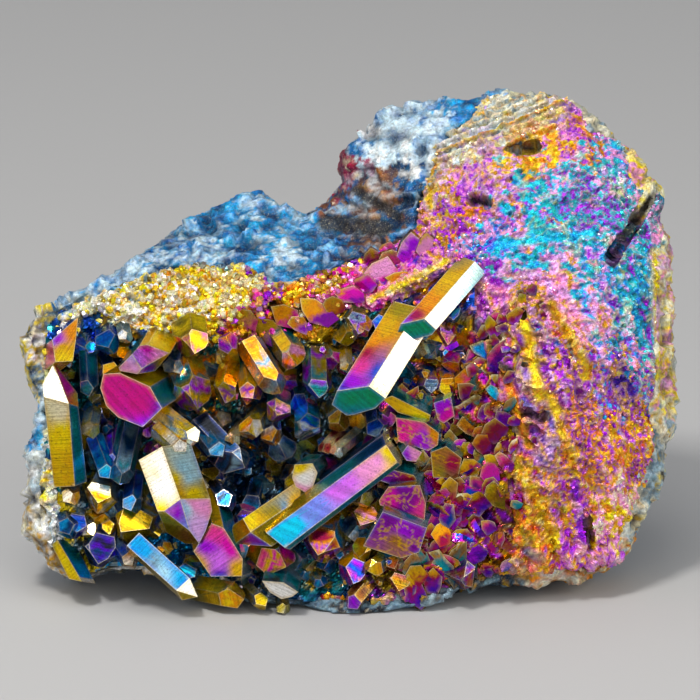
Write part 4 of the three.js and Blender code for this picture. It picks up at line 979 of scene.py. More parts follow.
def edged(tint, away, width, strength, gold, periwinkle):
    """Lays a rim along a facet's edges: so much gold on warm colours, periwinkle on cold ones."""
    warm = tint[:, :1] > tint[:, 2:]
    edge = np.where(warm, colour("gold") * gold, colour("periwinkle") * periwinkle)
    return rimmed(tint, away, width, edge, strength)


def shaped_coat(colours, plane, veins):
    """The coat of a shaped crystal's facet; veins is how strongly gold veins cross it."""

    def plain(points, away):
        tint = ramp("dark teal steel olive".split(), 0.5 + 0.5 * smooth_noise(points, 2, plane))
        # The steel rim is a painted edge highlight.
        return rimmed(tint, away, 0.3, colour("steel"), 0.6)

    def coloured(points, away):
        tint = anchored(points, colours)
        noise = np.abs(layered_noise(points, 1.8, 71 + plane, 3))
        tint = mixed(tint, colour("gold"), veins * np.clip(1.4 - noise / 0.07, 0, 1))
        tint = edged(tint, away, 0.5, 0.5, gold=0.8, periwinkle=0.8)
        # The cream rim is a painted edge highlight.
        return rimmed(tint, away, 0.16, colour("cream"), 0.6)

    return coloured if colours else plain


def add_shaped(store, facets, coats, axis, step=SHAPED_STEP, veins=0):
    """Adds one of the shaped crystals without its foot, which is its first plane."""
    for plane, ring in facets:
        if plane > 0:
            coat = shaped_coat(coats[plane], plane, veins)
            add_facet(store, ring, step, 0.16, coat, axis)


def pointed_coat(names, top, salt, offset, is_end):
    """The coat of a pointed crystal's facet: bands that follow each other from its tip."""
    order = np.roll(np.array(names), int(offset * len(names))).tolist()
    span = 1.6 if is_end else 4.5

    def coat(points, away):
        far = np.linalg.norm(points - top, axis=1) / span
        swing = 0.4 * smooth_noise(points, 1.5, salt) + 0.35 * np.clip(away / 1.2, 0, 1)
        tint = ramp(order, np.abs((far * 0.9 + offset + swing) % 2 - 1))
        tint = edged(tint, away, 0.4, 0.45, gold=0.7, periwinkle=0.5)
        # The cream rim is a painted edge highlight, stronger on the end facets.
        return rimmed(tint, away, 0.15, colour("cream"), 0.5 if is_end else 0.3)

    return coat


def add_pointed(store, planes, ends, tip, end_names, side_names, step):
    """Adds a pointed crystal without its foot, coated in the named colours at its end and on its
    sides."""
    top = np.array(tip, float)
    for plane, ring in gem(planes):
        if plane > 0:
            names = end_names if ends[plane] else side_names
            salt = int(abs(top[0]) * 977 + abs(top[1]) * 631) % 5000 + plane
            offset = scatter(np.array([[plane, salt, 3]]), 8)[0]
            coat = pointed_coat(names, top, salt, offset, ends[plane])
            add_facet(store, ring, step, 0.15, coat, -planes[0][0])


def finish_mesh(name, store, smooth=False, shade_roots=False):
    """Makes an object of a store and returns it; its last argument asks for painted shade that darkens
    it towards the hollow's floor.
    """
    place = np.concatenate(store["points"])
    points = to_part(place)
    points[:, 2] = np.maximum(points[:, 2], CLEARANCE * MM)
    tint = np.concatenate(store["tint"])
    if shade_roots:
        tint = paint_root_shade(place, tint)
    mesh = bpy.data.meshes.new(name)
    mesh.from_pydata(points.tolist(), [], store["faces"])
    if store["along"]:
        lines = mesh.attributes.new("along", "FLOAT", "POINT")
        lines.data.foreach_set("value", np.concatenate(store["along"]).astype(np.float32))
    return dressed(name, mesh, tint, smooth)


def dressed(name, mesh, tint, smooth):
    """Gives a mesh its colours as an attribute and links it as an object."""
    layer = mesh.color_attributes.new("tint", "FLOAT_COLOR", "POINT")
    rows = np.ones((len(mesh.vertices), 4), np.float32)
    rows[:, :3] = np.clip(tint, 0, 1)
    layer.data.foreach_set("color", rows.ravel())
    mesh.polygons.foreach_set("use_smooth", np.full(len(mesh.polygons), smooth))
    mesh.update()
    obj = bpy.data.objects.new(name, mesh)
    bpy.context.scene.collection.objects.link(obj)
    return obj


# ---- the crust of crystals ----


def mosaic(place):
    """Flat shingles side by side, which the hollow's floor and the quartz share: their height,
    their colours and how surely a place has them."""
    u, v, w = place.T
    salt = MOSAIC_SALT
    lying = np.stack([(u * 0.8 - v * 0.6) / 1.7, u * 0.6 + v * 0.8, w * 0.2], 1)
    wobble = 0.5 * np.stack([smooth_noise(place, 1.7, salt + k) for k in range(3)], 1)
    _, gap, name, arm = cell_noise(lying + wobble, 2.6, salt)
    height = 0.85 * np.sum(tilts(name)[:, :2] * arm[:, :2], 1) + 1.1 * (name - 0.5)
    rim = gap / 2 + 0.18 * layered_noise(place, 0.9, salt + 5, 2)
    tint = np.zeros((len(place), 3))
    kind = (name * 977.3 % 1 * len(SHINGLE_COATS)).astype(int)
    for number, names in enumerate(SHINGLE_COATS):
        here = kind == number
        tint[here] = ramp(names.split(), 0.02 + rim[here] * 1.9)
    tint = tint * (1 + 0.35 * layered_noise(place, 1.1, salt + 8, 3)[:, None])
    # The field ends raggedly on its left, its right and at its top.
    sure = np.minimum((u - 9) / 4, (36 - u + 0.15 * v) / 9)
    sure = np.minimum(sure, (8 - v - 0.3 * (u - 20)) / 4)
    return height, tint, np.clip(sure + 1.3 * layered_noise(place, 5, salt + 12, 3), 0, 1)


def crust_floor():
    """The sheet that the hollow's crystals stand on."""
    across = np.arange(-53, 29, FLOOR_STEP)
    upwards = np.arange(-45, 14, FLOOR_STEP)
    grid_u, grid_v = np.meshgrid(across, upwards)
    u, v = grid_u.ravel(), grid_v.ravel()
    flat = np.stack([u, v, np.zeros(len(u))], 1)
    edge = inside(HOLLOW_EDGE, u, v)[0] + 0.8 * smooth_noise(flat, 2.2, 3)
    coarse, _, name = chipped(flat, 1.5, 11)
    coarse = coarse * 0.55 + 0.5 * (name - 0.5)
    fine = chipped(flat, 0.7, 15)[0] * 0.4
    plates, plate_tint, sure = mosaic(flat)
    relief = (coarse + fine) * (1 - sure) + (plates + 0.2 * fine) * sure
    w = face(u, v) + np.clip(edge / 1.5, 0, 1) * relief + 0.12
    # The sheet dips under the rock and the quartz along the hollow's edge.
    w -= np.clip(0.6 - edge, 0, 3) * 0.7
    keep = (edge > -0.9) & (inside(OUTLINE, u, v)[0] > 0.7)
    points = np.stack([u, v, w], 1)
    index = np.arange(len(u)).reshape(grid_u.shape)
    corners = np.stack([index[:-1, :-1], index[:-1, 1:], index[1:, 1:], index[1:, :-1]], -1)
    faces = corners.reshape(-1, 4)
    faces = faces[keep[faces].all(1)]
    used = np.unique(faces)
    renumber = np.zeros(len(u), int)
    renumber[used] = np.arange(len(used))
    tint = zone_colours(points[used], HOLLOW_ZONES, 200, 1.4)
    tint = mixed(tint, plate_tint[used], sure[used])
    dim = 0.7 + 0.3 * np.clip(layered_noise(points[used], 3, 230) + 0.4, 0, 1)
    store = new_store()
    store["points"].append(points[used])
    store["faces"] = renumber[faces].tolist()
    store["tint"].append(tint * dim[:, None])
    return finish_mesh("crust_floor", store)


def shaped_crystals():
    """The big crystals and the plates that are shaped one by one."""
    store = new_store()
    for entry in CRYSTALS:
        add_shaped(store, *shaped_crystal(entry), unit(np.array(entry[1])))
    lines_across = unit(np.array([0.5, 1, 0.2]))
    for entry in PLATES:
        veins = 0.7 if "plate" in entry[0] else 0
        add_shaped(store, *plate_crystal(entry), lines_across, PLATE_STEP, veins)
    return finish_mesh("shaped_crystals", store, shade_roots=True)


def zone_names(u, v):
    """The colours of the hollow's zone that is nearest to a place."""
    away = [math.hypot(u - zu, v - zv) / reach for zu, zv, reach, _ in HOLLOW_ZONES]
    return HOLLOW_ZONES[int(np.argmin(away))][3].split()


def end_names(u, v):
    """Bright colours for the end of a crystal at a place."""
    pick = scatter(np.array([[int(u * 90), int(v * 90), 5]]), 12)[0]
    coats = SHINGLE_COATS if in_shingles(u, v) else END_COATS
    return coats[int(pick * len(coats))].split()


def pointed_crystals():
    """The pointed crystals of the CAD part, with its own draws."""
    store = new_store()
    draw = generator(FILL_SEED)
    for tip, root, radius, turn, end_coat, side_coat in POINTS:
        planes, ends = pointed_planes(tip, root, radius, turn, draw)
        add_pointed(store, planes, ends, tip, end_coat.split(), side_coat.split(), POINTED_STEP)
    for v in range(-40, 8, FILL_STEP):
        for u in range(-50, 27, FILL_STEP):
            pu, pv = u + (draw() - 0.5) * FILL_STEP, v + (draw() - 0.5) * FILL_STEP
            distance = inside_at(HOLLOW_EDGE, pu, pv)
            lean = (1.9 * (draw() - 0.5), 1.3 * draw() - 1.1)
            long = 3.6 + 2.6 * draw()
            radius = 1.7 + 1.3 * draw()
            turn = 60 * draw()
            if distance < 1.5:
                continue
            w = face_at(pu, pv) - min(0.8 * distance, 2.9)
            tip = (pu + long * lean[0], pv + long * lean[1], w + long)
            planes, ends = pointed_planes(tip, (pu, pv, w - 2), radius, turn, draw)
            names = zone_names(pu, pv)
            add_pointed(store, planes, ends, tip, end_names(pu, pv), names, POINTED_STEP)
    return finish_mesh("pointed_crystals", store, shade_roots=True)


def in_shingles(u, v):
    """Whether a place of the hollow is in the field of flat shingles on its right."""
    return u > 15 + 0.4 * abs(v + 14) * (v > -14) or (u > 9 and v < -8)


def filled(store, draw, spacing, lengths, radii, step):
    """Fills the hollow with crystals at a spacing, with a least and a greatest length and radius
    and with a mesh spacing of step."""
    for v in np.arange(-42, 12, spacing):
        for u in np.arange(-50, 27, spacing):
            pu, pv = u + (draw() - 0.5) * spacing, v + (draw() - 0.5) * spacing
            lean = (1.9 * (draw() - 0.5), 1.3 * draw() - 1.1)
            long = lengths[0] + (lengths[1] - lengths[0]) * draw()
            radius = radii[0] + (radii[1] - radii[0]) * draw()
            turn = 60 * draw()
            stray = (4 * (draw() - 0.5), 4 * (draw() - 0.5))
            if inside_at(HOLLOW_EDGE, pu, pv) < 0.9 * radius or in_shingles(pu, pv):
                continue
            w = face_at(pu, pv)
            tip = (pu + long * lean[0], pv + long * lean[1], w + long)
            root = (pu - 0.4 * lean[0], pv - 0.4 * lean[1], w - 1.5)
            if inside_at(HOLLOW_EDGE, tip[0], tip[1]) < radius:
                continue
            planes, ends = pointed_planes(tip, root, radius, turn, draw, 0)
            names = zone_names(pu + stray[0], pv + stray[1])
            add_pointed(store, planes, ends, tip, end_names(pu, pv), names, step)


def middle_crystals():
    """Crystals between the big ones, which the CAD part leaves out."""
    store = new_store()
    draw = generator(FINE_SEED)
    for tip, root, radius, turn, end_coat, side_coat in SMALL_POINTS:
        planes, ends = pointed_planes(tip, root, radius, turn, draw)
        add_pointed(store, planes, ends, tip, end_coat.split(), side_coat.split(), POINTED_STEP)
    filled(store, draw, MIDDLE_STEP, lengths=(2.4, 4.8), radii=(1.5, 2.8), step=0.8)
    return finish_mesh("middle_crystals", store, shade_roots=True)


def small_crystals():
    """The smallest crystals of the hollow."""
    store = new_store()
    draw = generator(FINE_SEED + 1)
    filled(store, draw, FINE_STEP, lengths=(1.2, 2.8), radii=(0.6, 1.3), step=1.1)
    return finish_mesh("small_crystals", store, shade_roots=True)


def add_shingle(store, place, radius, stretch, turn, tilt, names):
    """Adds a flat ragged plate that lies on the face, coloured across, with thin broken gold rims and
    a painted cream highlight on the rims, strongest towards the upper left.
    """
    u, v, w = place
    count = 6 + int(turn * 7) % 3
    angles = np.linspace(0, 2 * math.pi, count, endpoint=False) + turn
    wobble = 1 + 0.22 * np.sin(angles * 2.3 + turn * 9) + 0.14 * np.sin(angles * 5.7 + turn * 31)
    along = radius * stretch * wobble * np.cos(angles)
    across = radius * wobble * np.sin(angles)
    way = (math.cos(turn * 0.6 - 0.6), math.sin(turn * 0.6 - 0.6))
    shade = 0.55 + 0.7 * (abs(turn) * 37.7 % 1)
    us = u + along * way[0] - across * way[1]
    vs = v + along * way[1] + across * way[0]
    top = np.stack([us, vs, w + tilt[0] * (us - u) + tilt[1] * (vs - v)], 1)
    low = top * 1.0
    low[:, :2] += (low[:, :2] - (u, v)) * 0.15
    low[:, 2] = w - 1.6

    def coat(points, away):
        noise = layered_noise(points, 1.3, int(abs(turn) * 500), 3)
        across = (0.55 * (points[:, 0] - u) - 0.84 * (points[:, 1] - v)) / (2.2 * radius)
        tint = ramp(names, 0.6 + across + 0.45 * noise) * shade
        tint = rimmed(tint, away, 0.25, colour("gold") * 0.8, np.clip(0.2 + noise, 0, 0.6))
        # The cream rim is a painted highlight, strongest towards the upper left.
        return rimmed(tint, away, 0.13, colour("cream"), np.clip(0.3 + noise - across, 0, 0.9))

    def side_coat(points, _away):
        return ramp(["olive", "bronze", "dark"], 0.5 + 0.5 * smooth_noise(points, 1, 7))

    add_facet(store, top, 0.5, 0.12, coat)
    for i in range(count):
        j = (i + 1) % count
        wall = np.array([top[i], low[i], low[j], top[j]])
        add_facet(store, wall, 1, 0.1, side_coat)


def shingles():
    """The field of flat shingles on the hollow's right: the named ones, then scattered ones."""
    store = new_store()
    draw = generator(SHINGLE_SEED)
    for u, v, radius, stretch, turn, names in SHINGLES:
        tilt = (0.5 * (draw() - 0.5), 0.6 * (draw() - 0.3))
        add_shingle(store, (u, v, face_at(u, v) + 0.8), radius, stretch, turn, tilt, names.split())
    for row in np.arange(-41, 9, SHINGLE_STEP):
        for start in np.arange(4, 32, SHINGLE_STEP):
            u, v = start + SHINGLE_STEP * draw(), row + SHINGLE_STEP * draw()
            radius = (0.9 + 1.1 * draw()) * min(1, 1 - (u - 20) / 22)
            stretch = 1.1 + 0.7 * draw()
            turn = 3.14 * int(2 * draw()) + 0.9 * (draw() - 0.5) - 0.5
            tilt = (0.1 + 0.3 * (draw() - 0.5), 0.2 + 0.35 * (draw() - 0.5))
            lift = 0.1 + 0.5 * draw()
            names = SHINGLE_COATS[int(len(SHINGLE_COATS) * draw())].split()
            last = 22 + 12 * draw() ** 1.5 + 0.1 * v
            near = min(math.hypot(u - entry[0], v - entry[1]) / entry[2] for entry in SHINGLES)
            rim = inside_at(OUTLINE, u, v)
            if not in_shingles(u, v) or rim < 2 or near < 0.8 or u > last:
                continue
            add_shingle(store, (u, v, face_at(u, v) + lift), radius, stretch, turn, tilt, names)
    return finish_mesh("shingles", store)


# ---- the rock and the massive quartz ----


def fine_copy(node, voxel):
    """The fine, even mesh of a CAD node, with its points and its normals."""
    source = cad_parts[node]
    copy = bpy.data.objects.new(node + "_fine", source.data.copy())
    bpy.context.scene.collection.objects.link(copy)
    copy.matrix_world = source.matrix_world
    weld = copy.modifiers.new("weld", "WELD")
    weld.merge_threshold = 1e-5
    remesh = copy.modifiers.new("remesh", "REMESH")
    remesh.mode = "VOXEL"
    remesh.voxel_size = voxel * MM
    smooth = copy.modifiers.new("smooth", "SMOOTH")
    smooth.factor = 0.5
    smooth.iterations = 5
    evaluated = copy.evaluated_get(bpy.context.evaluated_depsgraph_get())
    mesh = bpy.data.meshes.new_from_object(evaluated)
    bpy.data.objects.remove(copy)
    return mesh, vectors(mesh, "co"), vectors(mesh, "normal")


def faces_front(normals):
    """Which normals of the part point out of the face."""
    return normals[:, 2] * math.sin(LEAN) - normals[:, 1] * math.cos(LEAN) > 0.15


def moved(mesh, points, normals, height):
    """Moves a mesh's vertices along their normals, in millimetres, and keeps its cut base flat."""
    lift = np.clip((points[:, 2] / MM - 0.4) / 2, 0, 1)
    target = points + normals * (height * lift * MM)[:, None]
    target[:, 2] = np.maximum(target[:, 2], CLEARANCE * MM)
    mesh.vertices.foreach_set("co", target.ravel())
    mesh.update()
    return target


def hidden_rock(points, normals):
    """Which of the rock's front points lie unseen behind the massive quartz."""
    u, v, w = to_face(points).T
    below = face(u, v) - w
    hidden = (inside(QUARTZ_EDGE, u, v)[0] > 5) & (below > 2.5) & (below < 21)
    hidden &= np.abs(w - inside(OUTLINE, u, v)[1]) < 40
    return hidden & faces_front(normals)


def rock_body():
    """The host rock: lumps, long creases, chips and slabs in blue, steel and white, with painted shade
    where it lies low and a painted highlight on its crests.
    """
    mesh, points, normals = fine_copy("host_rock", ROCK_VOXEL)
    hidden = hidden_rock(points, normals)
    mesh, points, normals = trimmed(mesh, points, normals, hidden)
    place = to_face(points)
    lumps = layered_noise(place, 6, 300, 4)
    crease = 1 - 2 * np.abs(layered_noise(place * (0.45, 1, 0.8), 3.6, 310, 4))
    chips = chipped(place, 2.1, 320)[0]
    slabs = chipped(place, 5.2, 325)[0]
    height = 0.7 * lumps + 0.6 * crease + 0.26 * chips + 0.25 * slabs - 0.3
    here = to_face(moved(mesh, points, normals, height))
    tint = zone_colours(here, ROCK_ZONES, 340, 1.3, 3.4)
    behind = ramp(ROCK_BEHIND.split(), 0.42 + 0.6 * layered_noise(here, 7, 350, 5))
    rim = inside(OUTLINE, here[:, 0], here[:, 1])[1]
    tint = mixed(tint, behind, np.clip((rim - here[:, 2] - 3) / 6, 0, 1))
    # Painted shade: darker and navy where the rock lies low.
    hollow_shade = np.clip(0.58 + 0.6 * height + 0.35 * crease, 0.12, 1.2)[:, None]
    tint = tint * hollow_shade + colour("navy") * 0.5 * np.clip(1 - hollow_shade, 0, 1)
    # A painted highlight of frost on the crests of the lumps and ridges.
    tint = mixed(tint, colour("frost"), np.clip(1.5 * crease + 0.5 * lumps - 1.05, 0, 0.8))
    return dressed("rock_body", mesh, paint_slit_shade(here, tint), True)


def trimmed(mesh, points, normals, drop):
    """Leaves out the vertices for which drop holds, which lie hidden between the solids."""
    bm = bmesh.new()
    bm.from_mesh(mesh)
    bm.verts.ensure_lookup_table()
    bmesh.ops.delete(bm, geom=[bm.verts[i] for i in np.flatnonzero(drop)], context="VERTS")
    bm.to_mesh(mesh)
    bm.free()
    return mesh, points[~drop], normals[~drop]


def band_weight(here, start, stop, width):
    """How near points are to a line on the face, from 0 to 1."""
    a, b = np.array(start, float), np.array(stop, float)
    way = b - a
    t = np.clip(((here[:, :2] - a) @ way) / (way @ way), 0, 1)
    away = np.linalg.norm(here[:, :2] - a - t[:, None] * way, axis=1)
    return np.clip(1 - away / width, 0, 1)


def paint_slit_shade(here, tint):
    """Paints shade inside the slits, darkening the colour there."""
    for start, stop, width in SLITS:
        share = np.clip(band_weight(here, start, stop, width) * 2.4, 0, 1) * 0.94
        tint = mixed(tint, colour("dark"), share)
    return tint


def quartz_relief(place):
    """The relief of the massive quartz in millimetres, and the fields that its colours follow."""
    u, v, w = place.T
    top_left = np.clip((2 - u) / 4, 0, 1)
    low = np.clip((12 - v) / 10, 0, 1) * (1 - top_left)
    lumps = layered_noise(place, 5, 400, 4)
    chips, _, name = chipped(place, 1.5, 420)
    grains, gap, _ = chipped(place, 0.8, 430)
    slant = np.stack([u * 0.95 + v * 0.33, (v * 0.95 - u * 0.33) * 0.22, w * 0.5], 1)
    ridges = 1 - 2.4 * np.abs(layered_noise(slant, 4.2, 440, 4))
    strata = band_weight(place, *STRATA)
    layer = (v * 0.92 - u * 0.38) / 1.1 + 0.5 * lumps + 0.5
    vein = np.clip(1 - np.abs(layered_noise(place, 3.4, 450, 3)) / 0.1, 0, 1)
    height = 0.7 * lumps + 0.4 * chips + 0.35 * grains + (0.3 + 0.6 * low) * ridges
    height += 0.4 * top_left * chips + strata * 0.35 * np.sin(layer * 2 * math.pi) + 0.3 * vein
    for start, stop, width in SLITS:
        cut = np.clip(1.8 * band_weight(place, start, stop, width + 0.5), 0, 1)
        height = height * (1 - cut) - 2 * cut
    plates, plate_tint, sure = mosaic(place)
    sure = sure * (u > 5)
    height = height * (1 - 0.85 * sure) + 0.9 * plates * sure
    fields = {
        "name": name, "strata": strata, "layer": layer, "plate_tint": plate_tint, "sure": sure,
        "gilt": 0.5 * vein * (1 - sure) * np.clip((u - 4) / 5, 0, 1),
        # Where painted shade darkens the narrow gaps between the chips.
        "crack_shade": np.clip(1 - gap / 0.16, 0, 1) * np.clip(0.4 + lumps, 0, 1),
    }
    return height, fields


def quartz_coating(here, height, slope, fields):
    """The massive quartz's colours: zones, seams, mosaic, streaks, gilt veins, painted shade by slope,
    in hollows and in cracks, and a painted highlight on the crests.
    """
    lift = 0.3 * slope[:, 0] + 0.25 * slope[:, 1] + 0.16 * np.clip(height, -1, 1)
    tint = zone_colours(here, QUARTZ_ZONES, 460, 1.6, 2.6, slanted(here), lift)
    seams = ramp(SEAMS.split(), (fields["layer"] / 3.1) % 1)
    tint = mixed(tint, seams, 0.8 * fields["strata"])
    tint = mixed(tint, fields["plate_tint"], 0.85 * fields["sure"])
    swing = 0.5 + 0.6 * layered_noise(here, 1.6, 470, 3)
    for start, stop, width, names in STREAKS:
        near = band_weight(here, start, stop, width * 1.6)
        share = np.clip(near * 2 - 1 + swing, 0, 1) * (near > 0)
        tint = mixed(tint, ramp(names.split(), swing), share)
    tint = mixed(tint, ramp(["gold", "yellow", "cream"], fields["name"]), fields["gilt"])
    # Painted light and shade: lighter where the relief faces up, darker where it faces right, in
    # hollows and in the cracks.
    shade = 1.08 + 0.4 * slope[:, 1] - 0.25 * slope[:, 0] - 0.35 * np.clip(-height * 0.9, 0, 1)
    tint = tint * np.clip(shade - 0.3 * fields["crack_shade"], 0.3, 1.25)[:, None]
    # A painted highlight of cream on the crests.
    tint = mixed(tint, colour("cream"), 0.2 * np.clip(height * 1.1 - 0.6, 0, 1))
    return paint_slit_shade(here, tint)


def quartz_body():
    """The massive quartz: sugary grains, chips, ridges and layers in bands of bright colours."""
    mesh, points, normals = fine_copy("massive_quartz", QUARTZ_VOXEL)
    u, v, w = to_face(points).T
    mesh, points, normals = trimmed(mesh, points, normals, face(u, v) - w > 6.5)
    height, fields = quartz_relief(to_face(points))
    here = to_face(moved(mesh, points, normals, height - 0.15))
    slope = to_face_way(vectors(mesh, "normal") - normals)
    tint = quartz_coating(here, height, slope, fields)
    return dressed("quartz_body", mesh, tint, False)


def turned(first, rng):
    """Random frames whose first way is near the given ways."""
    one = first + rng.normal(0, 0.42, first.shape)
    one /= np.linalg.norm(one, axis=1)[:, None]
    two = np.cross(one, rng.normal(size=first.shape))
    two /= np.linalg.norm(two, axis=1)[:, None]
    return one, two, np.cross(one, two)


def grain_chance(place):
    """How likely a grain stands at each of the massive quartz's points."""
    u, v, w = place.T
    fit = inside(QUARTZ_EDGE, u, v)[0] > 0.3
    fit &= inside(HOLLOW_EDGE, u, v)[0] < 1.2
    fit &= np.abs(face(u, v) - w) < 3
    patchy = layered_noise(place, 6, 500, 3) + 0.9 * (u < 2)
    field = mosaic(place)[2] * (u > 5)
    chance = fit * np.clip(patchy - 0.1, 0.05, 1.2) * (1 - 0.95 * field)
    return chance / chance.sum()


def quartz_grains(body):
    """Small six-sided grains with flat facets on the massive quartz, in its own colours. Most of
    them, and the largest, are in its upper left band."""
    rng = np.random.default_rng(GRAIN_SEED)
    mesh = body.data
    place = to_face(vectors(mesh, "co"))
    chosen = rng.choice(len(place), GRAIN_COUNT, replace=False, p=grain_chance(place))
    centres = place[chosen]
    ways = turned(vectors(mesh, "normal")[chosen], rng)
    out, side, other = (to_face_way(way) for way in ways)
    size = rng.uniform(0.16, 0.4, GRAIN_COUNT) * (1 + 0.7 * (centres[:, 0] < 2))
    tall = size * rng.uniform(0.7, 1.5, GRAIN_COUNT)
    angles = np.arange(6) * math.pi / 3
    ring = np.cos(angles)[None, :, None] * side[:, None]
    ring = ring + np.sin(angles)[None, :, None] * other[:, None]
    ring *= (size[:, None] * rng.uniform(0.8, 1.15, (GRAIN_COUNT, 6)))[:, :, None]
    foot = centres[:, None] + ring - out[:, None] * size[:, None, None]
    neck = centres[:, None] + ring + out[:, None] * (tall * 0.25)[:, None, None]
    peak = centres + out * tall[:, None] * 0.85
    under = np.empty(len(mesh.vertices) * 4, np.float32)
    mesh.color_attributes["tint"].data.foreach_get("color", under)
    tint = under.reshape(-1, 4)[chosen, :3]
    store = new_store()
    for k in range(6):
        n = (k + 1) % 6
        wall = np.stack([foot[:, k], foot[:, n], neck[:, n], neck[:, k]], 1)
        end = np.stack([neck[:, k], neck[:, n], peak], 1)
        for block in (wall, end):
            corners = block.shape[1]
            shade = tint * rng.uniform(0.7, 1.3, (GRAIN_COUNT, 1))
            shade = shade * (1 + rng.normal(0, 0.08, tint.shape))
            index = store["count"] + np.arange(len(block) * corners).reshape(-1, corners)
            store["points"].append(block.reshape(-1, 3))
            store["faces"].extend(index.tolist())
            store["tint"].append(np.repeat(np.clip(shade, 0, 1), corners, 0))
            store["count"] += len(block) * corners
    return finish_mesh("quartz_grains", store)


# ---- materials ----


def node(tree, kind, **values):
    """A new shader node with its properties set."""
    made = tree.nodes.new("ShaderNode" + kind)
    for name, value in values.items():
        setattr(made, name, value)
    return made


def noise_node(tree, size, detail, coordinates):
    """Noise with lumps of a size in millimetres."""
    made = node(tree, "TexNoise")
    made.inputs["Scale"].default_value = 1 / (size * MM)
    made.inputs["Detail"].default_value = detail
    made.inputs["Roughness"].default_value = 0.6
    tree.links.new(coordinates.outputs["Object"], made.inputs["Vector"])
    return made


def spread(tree, source, low, high, from_low=0.3, from_high=0.7):
    """A noise spread over a range of values."""
    made = node(tree, "MapRange")
    made.inputs["From Min"].default_value = from_low
    made.inputs["From Max"].default_value = from_high
    made.inputs["To Min"].default_value = low
    made.inputs["To Max"].default_value = high
    tree.links.new(source, made.inputs["Value"])
    return made.outputs["Result"]


def bump_node(tree, source, strength, height, under=None):
    """Relief of a height in millimetres from a noise, added to the relief under it."""
    made = node(tree, "Bump")
    made.inputs["Strength"].default_value = strength
    made.inputs["Distance"].default_value = height * MM
    tree.links.new(source, made.inputs["Height"])
    if under:
        tree.links.new(under.outputs["Normal"], made.inputs["Normal"])
    return made


def growth_lines(tree, shader, under, paint):
    """Fine lines across a crystal's axis, in its relief and its colour."""
    along = node(tree, "Attribute", attribute_name="along")
    lines = node(tree, "TexNoise", noise_dimensions="1D")
    lines.inputs["Scale"].default_value = 3
    lines.inputs["Detail"].default_value = 5
    tree.links.new(along.outputs["Fac"], lines.inputs["W"])
    relief = bump_node(tree, lines.outputs["Fac"], 0.2, 0.07, under)
    tree.links.new(relief.outputs["Normal"], shader.inputs["Normal"])
    streaks = node(tree, "HueSaturation")
    value = spread(tree, lines.outputs["Fac"], 0.82, 1.1, 0.36, 0.6)
    tree.links.new(value, streaks.inputs["Value"])
    tree.links.new(paint, streaks.inputs["Color"])
    tree.links.new(streaks.outputs["Color"], shader.inputs["Base Color"])


def coated(name, metallic, polish, grain, relief, hue_swing, values, speckle, fleck):
    """A thin metallic coating over stone, as one of the COATINGS."""
    material = bpy.data.materials.new(name)
    material.use_nodes = True
    tree = material.node_tree
    tree.nodes.clear()
    output = node(tree, "OutputMaterial")
    shader = node(tree, "BsdfPrincipled")
    shader.inputs["Metallic"].default_value = metallic
    tree.links.new(shader.outputs["BSDF"], output.inputs["Surface"])
    coordinates = node(tree, "TexCoord")
    tint = node(tree, "Attribute", attribute_name="tint")
    bands = noise_node(tree, grain * 5, 3, coordinates)
    marks = noise_node(tree, grain * 1.6, 4, coordinates)
    dust = noise_node(tree, grain * 0.7, 2, coordinates)
    shift = node(tree, "HueSaturation")
    hue = spread(tree, bands.outputs["Fac"], 0.5 - hue_swing, 0.5 + hue_swing)
    tree.links.new(hue, shift.inputs["Hue"])
    value = spread(tree, marks.outputs["Fac"], *values)
    tree.links.new(value, shift.inputs["Value"])
    shift.inputs["Saturation"].default_value = 1.1
    tree.links.new(tint.outputs["Color"], shift.inputs["Color"])
    # Flecks of the fleck colour: cream ones are painted glints.
    flecked = node(tree, "Mix", data_type="RGBA")
    flecked.inputs["B"].default_value = (*PALETTE[fleck], 1)
    share = spread(tree, dust.outputs["Fac"], 0, speckle, 0.56, 0.72)
    tree.links.new(share, flecked.inputs["Factor"])
    tree.links.new(shift.outputs["Color"], flecked.inputs["A"])
    tree.links.new(flecked.outputs["Result"], shader.inputs["Base Color"])
    rough = spread(tree, marks.outputs["Fac"], *polish)
    tree.links.new(rough, shader.inputs["Roughness"])
    bump = bump_node(tree, marks.outputs["Fac"], 0.6, relief)
    fine = bump_node(tree, dust.outputs["Fac"], 0.5, relief * 0.4, bump)
    tree.links.new(fine.outputs["Normal"], shader.inputs["Normal"])
    if name == "coated_crystal":
        growth_lines(tree, shader, fine, flecked.outputs["Result"])
    return material


def pale_floor():
    """The plain pale floor under the specimen."""
    half = FLOOR_HALF
    corners = [(-half, -half, 0), (half, -half, 0), (half, half, 0), (-half, half, 0)]
    mesh = bpy.data.meshes.new("floor")
    mesh.from_pydata(corners, [], [(0, 1, 2, 3)])
    floor = bpy.data.objects.new("floor", mesh)
    bpy.context.scene.collection.objects.link(floor)
    material = bpy.data.materials.new("pale_floor")
    material.use_nodes = True
    shader = material.node_tree.nodes["Principled BSDF"]
    shader.inputs["Base Color"].default_value = (0.5, 0.495, 0.49, 1)
    shader.inputs["Roughness"].default_value = 0.75
    mesh.materials.append(material)
    return floor


# ---- light and camera ----


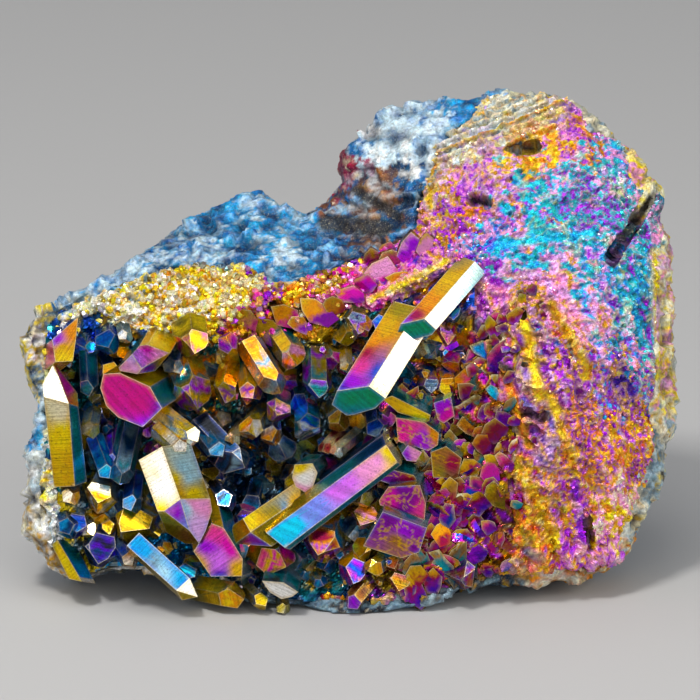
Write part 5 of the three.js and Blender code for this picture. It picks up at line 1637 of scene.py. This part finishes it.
def softbox(name, azimuth, elevation, distance, size, power, shade=(1, 1, 1)):
    """A rectangular soft light that faces the specimen, from an azimuth right of the front."""
    light = bpy.data.lights.new(name, "AREA")
    light.shape = "RECTANGLE"
    light.size, light.size_y = size
    light.energy = power
    light.color = shade
    lamp = bpy.data.objects.new(name, light)
    bpy.context.scene.collection.objects.link(lamp)
    turn, rise = math.radians(azimuth), math.radians(elevation)
    way = Vector((math.sin(turn) * math.cos(rise), -math.cos(turn) * math.cos(rise), math.sin(rise)))
    lamp.location = Vector((0, 0, LIGHT_AIM)) + way * distance
    lamp.rotation_euler = (-way).to_track_quat("-Z", "Y").to_euler()
    return lamp


def studio():
    """Plain soft studio light and the camera at the photograph's angle."""
    scene = bpy.context.scene
    world = bpy.data.worlds.new("studio")
    world.use_nodes = True
    background = world.node_tree.nodes["Background"]
    background.inputs["Color"].default_value = (0.5, 0.52, 0.55, 1)
    background.inputs["Strength"].default_value = 0.42
    scene.world = world
    for box in SOFTBOXES:
        softbox(*box)
    camera_data = bpy.data.cameras.new("camera")
    camera_data.sensor_width = SENSOR
    camera_data.lens = SENSOR * CAMERA_DISTANCE / PHOTO_WIDTH
    camera_data.clip_end = 20
    camera = bpy.data.objects.new("camera", camera_data)
    scene.collection.objects.link(camera)
    ends = to_part([(0, 0, CAMERA_DISTANCE), (0, 0, 0)])
    camera.location = ends[0]
    way = Vector(ends[1]) - Vector(ends[0])
    camera.rotation_euler = way.to_track_quat("-Z", "Y").to_euler()
    scene.camera = camera
    scene.view_settings.view_transform = "Standard"
    scene.view_settings.look = "None"


# ---- putting it together ----


def main():
    """Makes the pieces, puts each in the place of its CAD node and sets the stage."""
    rock, quartz, grain, crystal = [coated(name, **looks) for name, looks in COATINGS.items()]
    body = quartz_body()
    pieces = [
        (rock_body(), rock, "host_rock"),
        (body, quartz, "massive_quartz"),
        (quartz_grains(body), grain, "massive_quartz"),
        (crust_floor(), crystal, "crystal_crust"),
        (shaped_crystals(), crystal, "crystal_crust"),
        (pointed_crystals(), crystal, "crystal_crust"),
        (middle_crystals(), crystal, "crystal_crust"),
        (small_crystals(), crystal, "crystal_crust"),
        (shingles(), crystal, "crystal_crust"),
    ]
    for piece, material, part in pieces:
        piece.data.materials.clear()
        piece.data.materials.append(material)
        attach(piece, "root")
        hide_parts(part)
    pale_floor()
    studio()


main()
